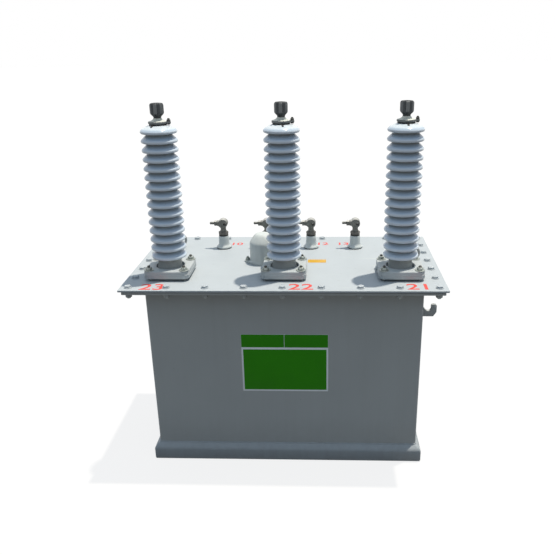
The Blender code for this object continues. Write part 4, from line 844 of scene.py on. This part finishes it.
ring_seal = bmesh.new()
seal_profile = [(12, 471.9), (25.4, 471.9), (26.2, 472.8), (26.2, 474.4), (25.4, 475.2), (12, 475.2)]
turn(ring_seal, in_metres(seal_profile), 56, closed=True)
tongue_half = 3
tongue_section = [(-tongue_half, -1), (tongue_half, -1), (tongue_half, 0.9), (-tongue_half, 0.9)]
tongue = [(25, 473), (28.6, 472.4), (32.4, 471.4), (35.8, 470), (37.6, 469)]
skin(ring_seal, [[(x * mm, -r * mm, (z + up) * mm) for x, up in tongue_section] for r, z in tongue])
ring_seal_mesh = make_mesh("cap_seal", ring_seal, black_rubber)
tongue_turns = {1: 4, 2: 11, 3: -19}
for number, (x, y) in hv_places.items():
    node = f"hv_cap_{number}"
    put(f"{node}_casting", cap_mesh, place=(x, y, cover_top), instead_of=[node])
    seal = put(f"hv_cap_seal_{number}", ring_seal_mesh, place=(x, y, cover_top))
    seal.rotation_euler.z = math.radians(tongue_turns[number])

# High-voltage terminals
# Bronze heads with grooved sides that screw down on the top of each conductor and grip a line wire.
# They are cast, then bored and tapped from below.

# Dark bronze: weathered outdoors. The eye sees a charcoal metal, nearly matt, with worn lighter ridges.
dark_bronze, tree, here, patina, colour = start_clouded(
    "weathered_dark_bronze", 0.01, 6.0, "#34383b", "#4c5053"
)
colour = lay_over(tree, colour, "#6b6f71", on_axis(tree, here)[1], (0.0185, 0.0206, 0.0, 0.7))
finish(tree, colour, patina, (0.42, 0.65), [(patina, 0.2, 0.0003)], {"Metallic": 0.8})


def grooved(radius, depth, z):
    """A round section with six grooves down its side, at one level."""
    points = []
    for i in range(96):
        share = 6 * i / 96 % 1
        dip = max(0.0, math.cos(2 * math.pi * share)) ** 0.7
        reach = radius - depth * dip
        angle = 2 * math.pi * i / 96
        points.append((reach * math.cos(angle), reach * math.sin(angle), z))
    return points


head = bmesh.new()
levels = [(6.9, 0, 24.5), (6.9, 0, 0.2), (11, 0, 0.2), (11.5, 0, 0.8), (11.7, 0, 3.2), (13, 0.1, 5.2)]
levels += [(15.6, 0.8, 7.6), (18.2, 2, 10.4), (19.8, 2.9, 12.8), (20.4, 3.3, 15), (20.5, 3.4, 36.6)]
levels += [(19.8, 3.2, 39.4), (17.6, 2, 42.2), (14.5, 0.8, 42.9), (9, 0, 43), (8.2, 0, 41.6), (4, 0, 41)]
skin(head, [grooved(r * mm, d * mm, z * mm) for r, d, z in levels])
head_mesh = make_mesh("line_terminal", head, dark_bronze, 40)
for number, (x, y) in hv_places.items():
    node = f"hv_terminal_{number}"
    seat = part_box(node)[0].z
    put(f"{node}_head", head_mesh, body=node, place=(x, y, seat), instead_of=[node])

# Low-voltage bushings
# Short porcelain sleeves with a wide foot, one for each winding and one for the neutral, on a rubber ring.
# A second ring and a bronze nut close each one at its top.

# Pale porcelain: a thin light-grey glaze. The eye sees a glassy pale grey with a soft mottle and fine specks.
pale_porcelain, tree, here, mottle, colour = start_clouded(
    "glazed_pale_porcelain", 0.012, 5.0, "#b4bbbc", "#c6ccca"
)
iron = add_node(tree, "ShaderNodeTexVoronoi", {"Scale": 1 / 0.007}, here)
colour = lay_over(tree, colour, "#6f7474", iron.outputs["Distance"], (0.06, 0.09, 0.6, 0.0))
finish(tree, colour, mottle, (0.1, 0.25), [(mottle, 0.08, 0.0006)], glass_bend)

sleeve = bmesh.new()
sleeve_profile = [(8, -45), (11.5, -45), (12, -44.5), (12, 2.4), (26, 2.4), (27, 3.2), (27.2, 5), (26.7, 6.8)]
sleeve_profile += [(25.2, 8.4), (21.8, 11), (20, 13.4), (19, 17), (18.2, 30), (17.8, 43.4), (17.2, 45.2)]
sleeve_profile += [(16, 46), (8, 46)]
turn(sleeve, in_metres(sleeve_profile), 48, closed=True)
sleeve_mesh = make_mesh("lv_sleeve", sleeve, pale_porcelain, 50)
seals = bmesh.new()
foot_profile = [(14, 0.1), (26.2, 0.1), (26.8, 0.8), (26.8, 1.7), (26.2, 2.3), (14, 2.3)]
turn(seals, in_metres(foot_profile), 48, closed=True)
top_profile = [(8, 46.1), (16.2, 46.1), (16.8, 46.9), (16.8, 49.4), (16.2, 50.2), (8, 50.2)]
turn(seals, in_metres(top_profile), 40, closed=True)
seals_mesh = make_mesh("lv_seals", seals, black_rubber)

# Brown bronze: a bare casting left to the weather. The eye sees a dull, dark grey-brown crust in patches.
brown_bronze = clouded(
    "weathered_brown_bronze",
    0.008,
    6.0,
    "#4f4e4c",
    "#7f7c77",
    (0.5, 0.7),
    (0.2, 0.0003),
    sockets=crusted_metal,
)
gland_nut = bmesh.new()
washer(gland_nut, (0, 0), 50.3 * mm, 16.6 * mm, 7.4 * mm, 1.8 * mm)
hexagon_head(gland_nut, (0, 0), 52.1 * mm, 30 * mm, 10 * mm, 0.08, both=True)
gland_nut_mesh = make_mesh("lv_nut", gland_nut, brown_bronze, 28)

# Eye terminals
# A tinned bronze stud with an eye at its top. The eye has an oval hole for a bare conductor, right of its
# middle and drilled slightly uphill, and a clamp bolt with a lock nut in the boss on its left.

# Bright tin: a thick coat of tin on bronze. The eye sees a neutral metal with a soft sheen and grey patches,
# dark at the sides and paler where it faces up; the paler top is a painted reflection of the sky.
bright_tin, tree, here, patches, colour = start_clouded(
    "bright_tin_on_bronze", 0.01, 6.0, "#4d4e4c", "#83847f"
)
# Painted reflection: the faces that look up are paler, as if they mirrored the sky.
upward_painted_sheen = add_node(tree, "ShaderNodeSeparateXYZ", links={0: here[0].node.outputs["Normal"]})
colour = lay_over(tree, colour, "#bcbdb9", upward_painted_sheen.outputs["Z"], (0.3, 0.95, 0.0, 0.8))
finish(tree, colour, patches, (0.4, 0.58), [(patches, 0.2, 0.0003)], crusted_metal)

eye = bmesh.new()
eye_z = 92
stem = [(5.5, -58.5), (7, -57), (7, 62.2), (11.4, 62.2), (11.8, 63), (11.4, 64.6), (10.3, 66.6), (9.8, 70)]
turn(eye, in_metres(stem + [(10.2, 78)]), 40)
boss = [(11, 12), (11, 19), (10.3, 20), (9.4, 20.3)]
skin(eye, [[(-x * mm, y * mm, (eye_z + z) * mm) for y, z in circle(r, 32)] for r, x in boss])
hole_x = 7.5
hole_rise = 2.2
hole_half_x, hole_half_z = 4.2, 6
outer, wide, soft = 16.5, 15, 2.4
sections = []
for i in range(64):
    angle = 2 * math.pi * i / 64
    c, s = math.cos(angle), math.sin(angle)
    inner = 1 / math.hypot(c / hole_half_x, s / hole_half_z)
    edge = math.sqrt(outer**2 - (hole_x * s) ** 2) - hole_x * c
    front = [(inner, -wide + 1), (inner + 0.8, -wide)]
    back = [(inner + 0.8, wide), (inner, wide - 1)]
    body = [(edge - soft, -wide), (edge - 0.3 * soft, -wide + 0.3 * soft), (edge, -wide + soft)]
    body += [(edge, wide - soft), (edge - 0.3 * soft, wide - 0.3 * soft), (edge - soft, wide)]
    section = []
    for part, rise in ((front, -hole_rise), (body, 0), (back, hole_rise)):
        section += [((hole_x + r * c) * mm, w * mm, (eye_z + rise + r * s) * mm) for r, w in part]
    sections.append(section)
skin(eye, sections, closed=True)
eye_mesh = make_mesh("eye_terminal", eye, bright_tin, 40)

clamp = bmesh.new()
threaded(clamp, (0, 0), -3.5 * mm, 47 * mm, 5 * mm, 1.5 * mm)
washer(clamp, (0, 0), 20.5 * mm, 9.6 * mm, 5.1 * mm, 1.6 * mm)
hexagon_head(clamp, (0, 0), 22.1 * mm, 17 * mm, 9.4 * mm, 0.15, both=True)
bmesh.ops.rotate(clamp, verts=clamp.verts, matrix=Matrix.Rotation(-math.pi / 2, 3, "Y"))
clamp_mesh = make_mesh("clamp_bolt", clamp, bright_tin, 28)
for number, (x, y) in lv_places.items():
    foot = (x, y, cover_top)
    put(f"lv_sleeve_{number}", sleeve_mesh, place=foot, instead_of=[f"lv_porcelain_{number}"])
    put(f"lv_seals_{number}", seals_mesh, place=foot)
    node = f"lv_nut_{number}"
    put(f"lv_gland_nut_{number}", gland_nut_mesh, place=foot, instead_of=[node])
    put(f"lv_eye_{number}", eye_mesh, place=foot, instead_of=[f"lv_terminal_{number}"])
    node = f"lv_clamp_bolt_{number}"
    screw_place = (x, y, cover_top + eye_z * mm)
    put(f"{node}_screw", clamp_mesh, body=node, place=screw_place, instead_of=[node])

# Tap changer
# A switch hung under the cover with its knob above, turned by hand with the transformer off line. A plate
# around the knob has a plain number for each of its five positions.

# Engraved plate: anodised aluminium, brushed. The eye sees fine straight hairlines in a pale silver.
dial_plate, tree, here = start_material("brushed_anodised_aluminium")
stretch = add_node(tree, "ShaderNodeMapping", {"Scale": (30.0, 1500.0, 1.0)}, here)
brushed = add_node(tree, "ShaderNodeTexNoise", {"Scale": 1.0, "Detail": 4.0}, {0: stretch.outputs[0]})
hairs = brushed.outputs[0]
colour = lay_over(tree, "#a9adae", "#c4c7c6", hairs)
finish(tree, colour, hairs, (0.3, 0.45), [(hairs, 0.15, 0.0001)], bare_metal)
coat("tap_dial", dial_plate)
dial_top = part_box("tap_dial")[1].z
number_reach = 33.5 * mm
for i in range(5):
    name = f"tap_number_{i + 1}"
    angle = math.radians(-90 + 30 * (i - 2))
    spot = (tap_place[0] + number_reach * math.cos(angle), tap_place[1] + number_reach * math.sin(angle))
    figure = number_mesh(name, str(i + 1), 9 * mm, black_rubber)
    put(name, figure, place=(*spot, dial_top + paint_lift))

# Moulded resin: phenolic, pressed hot. The eye sees a dark brown with a dull shine and faint flow marks.
moulded_resin, tree, here = start_material("moulded_phenolic_resin")
flow_lines = {"Scale": 1 / 0.05, "Distortion": 9.0, "Detail": 4.0, "Detail Scale": 2.0}
flow = add_node(tree, "ShaderNodeTexWave", flow_lines, here).outputs[0]
finish(tree, lay_over(tree, "#3a2a20", "#4d382a", flow), flow, (0.34, 0.5), [(flow, 0.1, 0.0004)])
coat("tap_switch", moulded_resin)

knob = bmesh.new()
knob_radius = 15
knob_outline = []
for i in range(72):
    angle = 2 * math.pi * i / 72
    nose = max(0.0, math.cos(angle)) ** 12
    flute = 0.5 * math.cos(18 * angle) * (1 - nose)
    reach = knob_radius + knob_radius * nose + flute
    knob_outline.append((reach * math.sin(angle), -reach * math.cos(angle)))
knob_levels = [(0.94, 8.4), (1, 9.4), (1, 25.4), (0.95, 27.4), (0.84, 28.3), (0.3, 28.3)]
skin(knob, [[(x * k * mm, y * k * mm, z * mm) for x, y in knob_outline] for k, z in knob_levels])
turn(knob, in_metres([(5, -40), (5, 9)]), 24)
knob_mesh = make_mesh("tap_knob", knob, moulded_resin, 40)
put("tap_knob_moulding", knob_mesh, body="tap_knob", place=tap_foot, instead_of=["tap_knob"])

# Knob pointer
# A thin white line of paint along the knob's nose that points at the position. It fills a groove that is
# moulded in the knob.

# White paint: filled into a moulded line. The eye sees a slightly yellowed, chalky white.
white_paint = clouded("white_line_paint", 0.006, 4.0, "#d5d5cd", "#e6e5df", (0.5, 0.7))
pointer = bmesh.new()
line = rounded_outline(0.9 * mm, 8 * mm, 0.8 * mm, 4)
skin(pointer, [[(x, y - 15 * mm, z * mm) for x, y in line] for z in (28.2, 28.5)])
pointer_mesh = make_mesh("tap_pointer", pointer, white_paint)
put("tap_pointer", pointer_mesh, body="tap_knob", place=tap_foot)

# Tap-changer hood
# A pressed steel cap that keeps rain off the knob. Its foot has two ears, each held by a captive screw.

# Hood enamel: a fresher, paler coat of the same grey. The eye sees soft upright rain marks in it.
hood_enamel = sprayed_enamel("pale_hood_enamel", "#c0c6c5", "#ced3d0", "#a3a8a6", 0.05, 0.35)
hood_inner = [(42.2, 0.3), (42.2, 65), (41.5, 69.5), (38.8, 74.8), (30.8, 86), (26.6, 91), (22.2, 95.2)]
hood_inner += [(18.5, 96.7), (0.6, 97)]
hood_outer = [(0.6, 100), (19.5, 99.7), (24, 98), (29, 93.5), (33.5, 88), (41.5, 76.5)]
hood_outer += [(44.4, 71), (45.2, 66), (45.2, 12), (46.4, 8.2), (48, 6.3), (48, 0.3)]
hood = bmesh.new()
turn(hood, in_metres(hood_inner + hood_outer), 64, closed=True)
foot_radius, ear_radius, ear_reach = 48, 11, 54
ear_turn = math.degrees(math.acos((foot_radius - ear_radius) / ear_reach))
half_outline = arc((ear_reach, 0), ear_radius, -ear_turn, ear_turn, 16)
half_outline += arc((0, 0), foot_radius, ear_turn, 180 - ear_turn, 32)
foot_outline = in_metres(half_outline + [(-x, -y) for x, y in half_outline])
foot_levels = [(0.99, 0.3), (1, 0.9), (1, 5), (0.985, 6.2)]
foot_rings = [[(x * k, y * k, z * mm) for x, y in foot_outline] for k, z in foot_levels]
foot_loops = skin(hood, foot_rings, ends=False)
inner_loops = turn(hood, in_metres([(43.5, 0.3), (43.5, 6.2)]), 64, ends=False)
fill_between(hood, [foot_loops[0], inner_loops[0]])
fill_between(hood, [foot_loops[-1], inner_loops[-1]])
hood_mesh = make_mesh("tap_hood", hood, hood_enamel, 30)
put("tap_hood_cap", hood_mesh, body="tap_hood", place=tap_foot, instead_of=["tap_hood"])
hood_screws = bmesh.new()
for side in (-1, 1):
    spot = (side * ear_offset, 0.0)
    washer(hood_screws, spot, 6.3 * mm, 8.4 * mm, 4.2 * mm, 1.6 * mm)
    hexagon_head(hood_screws, spot, 7.9 * mm, 13 * mm, 6.4 * mm, 0.5 + side, both=True)
    threaded(hood_screws, spot, -5.6 * mm, 19 * mm, 3.9 * mm, 1.25 * mm)
hood_screws_mesh = make_mesh("tap_hood_screws", hood_screws, galvanised, 28)
put("tap_hood_screws", hood_screws_mesh, body="tap_hood", place=tap_foot)

# Cover eyes
# Forged steel rings on round collars, welded to the cover, for lifting it off. They are painted with the
# tank.
ring_bar, ring_radius, ring_z = 4.4 * mm, 20.6 * mm, 28.3 * mm
eyebolt = bmesh.new()
sections = []
for i in range(48):
    angle = 2 * math.pi * i / 48
    ring = []
    for out, across in circle(ring_bar, 16):
        reach = ring_radius + out
        ring.append((reach * math.cos(angle), across, ring_z + reach * math.sin(angle)))
    sections.append(ring)
skin(eyebolt, sections, closed=True)
collar = [(14.2, 0.3), (15, 1.2), (15, 6.4), (14, 8.6), (11, 10), (7.6, 12.4), (6, 16)]
turn(eyebolt, in_metres(collar), 40)
eyebolt_mesh = make_mesh("eyebolt", eyebolt, grey_enamel, 45)
for node in ("eyebolt_left", "eyebolt_right"):
    eye_foot = (*middle_of(node), cover_top)
    put(f"{node}_forging", eyebolt_mesh, place=eye_foot, instead_of=[node])

# Drain valve
# A brass valve screwed into a boss low on the tank's back, with a lever that turns a quarter to open it.
# Its body is cast, and its faces and thread are turned.

# Brass: cast and machined. The eye sees a warm yellow metal with turning lines and brown tarnish.
valve_brass, tree, here, tarnish, colour = start_clouded(
    "machined_brass", 0.014, 6.0, "#c8a254", "#866634", (0.45, 0.75, 0.0, 0.8)
)
turning = {"bands_direction": "Y", "Scale": 1 / 0.008, "Distortion": 0.6}
lathe = add_node(tree, "ShaderNodeTexWave", turning, here)
finish(tree, colour, tarnish, (0.28, 0.5), [(lathe.outputs[0], 0.08, 0.0001)], bare_metal)

valve_low, valve_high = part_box("drain_valve")
valve_x = (valve_low.x + valve_high.x) / 2
valve_z = valve_low.z + 20 * mm
stem_y = 24 * mm
valve = bmesh.new()
turn(valve, in_metres([(9, 9), (9, 0), (19, 0), (20, 1), (20, 9), (19, 10), (15, 11), (15, 14)]), 40)
hexagon_head(valve, (0, 0), 12 * mm, 30 * mm, 8 * mm, 0.0, both=True)
barrel = [(14, 19), (15, 20), (15, 36), (14.2, 37.6), (12.2, 38.4), (11.4, 39.4)]
for i in range(5):
    barrel += [(11.4, 40 + 2.4 * i), (12, 40.7 + 2.4 * i), (12, 41.3 + 2.4 * i), (11.4, 42 + 2.4 * i)]
barrel += [(11.6, 53.4), (11, 54), (9.3, 54), (8.5, 53.2), (8.5, 40)]
turn(valve, in_metres(barrel), 40)
bmesh.ops.rotate(valve, verts=valve.verts, matrix=Matrix.Rotation(-math.pi / 2, 3, "X"))
bonnet = [(9, 8), (9, 15.6), (8.4, 16.6), (7.5, 17), (7.5, 21.4), (6.9, 22)]
turn(valve, in_metres(bonnet), 32, (0, stem_y))
valve_mesh = make_mesh("drain_valve", valve, valve_brass, 32)
valve_place = (valve_x, valve_low.y, valve_z)
put("drain_valve_body", valve_mesh, place=valve_place, instead_of=["drain_valve"])

lever = bmesh.new()
hub_radius, tip_radius, lever_reach = 9, 6, 48
lever_turn = math.degrees(math.acos((hub_radius - tip_radius) / lever_reach))
lever_outline = arc((lever_reach, 0), tip_radius, -lever_turn, lever_turn, 12)
lever_outline = in_metres(lever_outline + arc((0, 0), hub_radius, lever_turn, 360 - lever_turn, 24))
soften(lever, skin(lever, [at(lever_outline, 0.1 * mm), at(lever_outline, 4 * mm)]), 0.8 * mm)
washer(lever, (0, 0), 4 * mm, 6.4 * mm, 3 * mm, 1 * mm)
hexagon_head(lever, (0, 0), 5 * mm, 10 * mm, 4 * mm, 0.2, both=True)
lever_mesh = make_mesh("drain_handle", lever, valve_brass, 32)
lever_place = (valve_x, valve_low.y + stem_y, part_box("drain_handle")[0].z)
put(
    "drain_handle_lever",
    lever_mesh,
    body="drain_handle",
    place=lever_place,
    instead_of=["drain_handle"],
)

# Front label
# Printed vinyl film stuck on the tank's front: a pale silver ground with a plain green panel, and a band of
# two plain green cells above it.

# Silver film: the ground of the print. The eye sees an even pale grey with a soft sheen.
silver_film = clouded("silver_vinyl_film", 0.02, 4.0, "#dfe6ea", "#edf2f4", (0.34, 0.46), (0.08, 0.0004))

# Green ink: screen printed on the film. The eye sees a flat, strong green with less gloss than the film,
# and slight differences in how thickly the ink lies.
ink_gloss = {"Specular IOR Level": 0.12}
green_ink = clouded(
    "green_screen_print", 0.04, 5.0, "#277f05", "#2f8b0a", (0.36, 0.5), (0.08, 0.0006), sockets=ink_gloss
)


def film_piece(left, right, low, high, back, thick, corner):
    """A thin film on the tank's front between two corners."""
    bm = bmesh.new()
    middle_x, middle_z = (left + right) / 2, (low + high) / 2
    outline = rounded_outline((right - left) / 2, (high - low) / 2, corner, 5)
    inner = rounded_outline((right - left) / 2 - thick, (high - low) / 2 - thick, corner, 5)
    rings = []
    for points, y in ((outline, back), (outline, back - thick / 2), (inner, back - thick)):
        rings.append([(middle_x + x, y, middle_z + z) for x, z in points])
    skin(bm, rings)
    return bm


label_low, label_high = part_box("front_label")
left, right = label_low.x, label_high.x
film_back, film_thick, ink_thick = label_high.y, 0.5 * mm, 0.1 * mm
side_border, cell_border = 5.5 * mm, 0.6 * mm
cells_low, cells_high = label_low.z + 160 * mm, label_high.z - cell_border
backing = film_piece(left, right, label_low.z, label_high.z, film_back, film_thick, 2 * mm)
put("label_film", make_mesh("label_film", backing, silver_film), instead_of=["front_label"])
panels = {
    "label_panel": (left + side_border, right - side_border, label_low.z + 6 * mm, label_low.z + 152.5 * mm),
    "label_cell_left": (left + cell_border, -1.5 * mm, cells_low, cells_high),
    "label_cell_right": (-0.3 * mm, right - cell_border, cells_low, cells_high),
}
for name, edges in panels.items():
    panel = film_piece(*edges, film_back - film_thick, ink_thick, 1.2 * mm)
    put(name, make_mesh(name, panel, green_ink))

# Core
# Three limbs and two yokes of thin silicon-steel sheets, stacked and clamped in a steel frame. It
# stands on the tank's floor, out of sight under the liquid.
band = 0.314  # the length of one band of a wave pattern at a scale of 1

# Core steel: a stack of cut sheet edges. The eye sees a dark blue-grey metal ruled with fine lines across
# the stack (drawn 2 mm apart so that they show).
core_steel, tree, here = start_material("laminated_silicon_steel")
stacked = {"bands_direction": "Y", "Scale": band / 0.002, "Distortion": 0.4}
sheets = add_node(tree, "ShaderNodeTexWave", stacked, here).outputs[0]
oil = add_node(tree, "ShaderNodeTexNoise", {"Scale": 1 / 0.06, "Detail": 5.0}, here)
colour = lay_over(tree, "#4d5258", "#6f757a", sheets)
finish(tree, colour, oil.outputs[0], (0.25, 0.5), [(sheets, 0.4, 0.0003)], bare_metal)
for node in ("core", "core_frame"):
    coat(node, core_steel)

# Windings and leads
# A copper low-voltage coil next to each limb, a high-voltage coil of paper-wrapped wire around it, and round
# copper leads and conductors from them to the bushings and the tap switch.

# Copper: drawn and annealed. The eye sees a warm red metal with darker oxide clouds and drawing lines.
copper, tree, here, oxide, colour = start_clouded("annealed_copper", 0.02, 5.0, "#c98a63", "#8c5236")
drawn = {"bands_direction": "Z", "Scale": band / 0.006, "Distortion": 0.5}
drawn_lines = add_node(tree, "ShaderNodeTexWave", drawn, here)
finish(tree, colour, oxide, (0.28, 0.48), [(drawn_lines.outputs[0], 0.3, 0.0006)], bare_metal)

# Wrapping paper: kraft strip wound over the wire. The eye sees tan bands, one strip's width apart, each a
# little different, with fibres and oil stains.
wrapping_paper, tree, here, fibre, colour = start_clouded(
    "kraft_paper_wrap", 0.008, 6.0, "#a07e4e", "#bb9a68"
)
wound = {"bands_direction": "Z", "wave_profile": "SAW", "Scale": band / 0.012, "Distortion": 0.8}
strips = add_node(tree, "ShaderNodeTexWave", wound, here).outputs[0]
colour = lay_over(tree, colour, "#8a683d", strips)
finish(tree, colour, fibre, (0.6, 0.85), [(strips, 0.5, 0.0008)])
coat("neutral_lead", copper)
for number in (1, 2, 3):
    coat(f"lv_winding_{number}", copper)
    coat(f"hv_conductor_{number}", copper)
    coat(f"hv_winding_{number}", wrapping_paper)
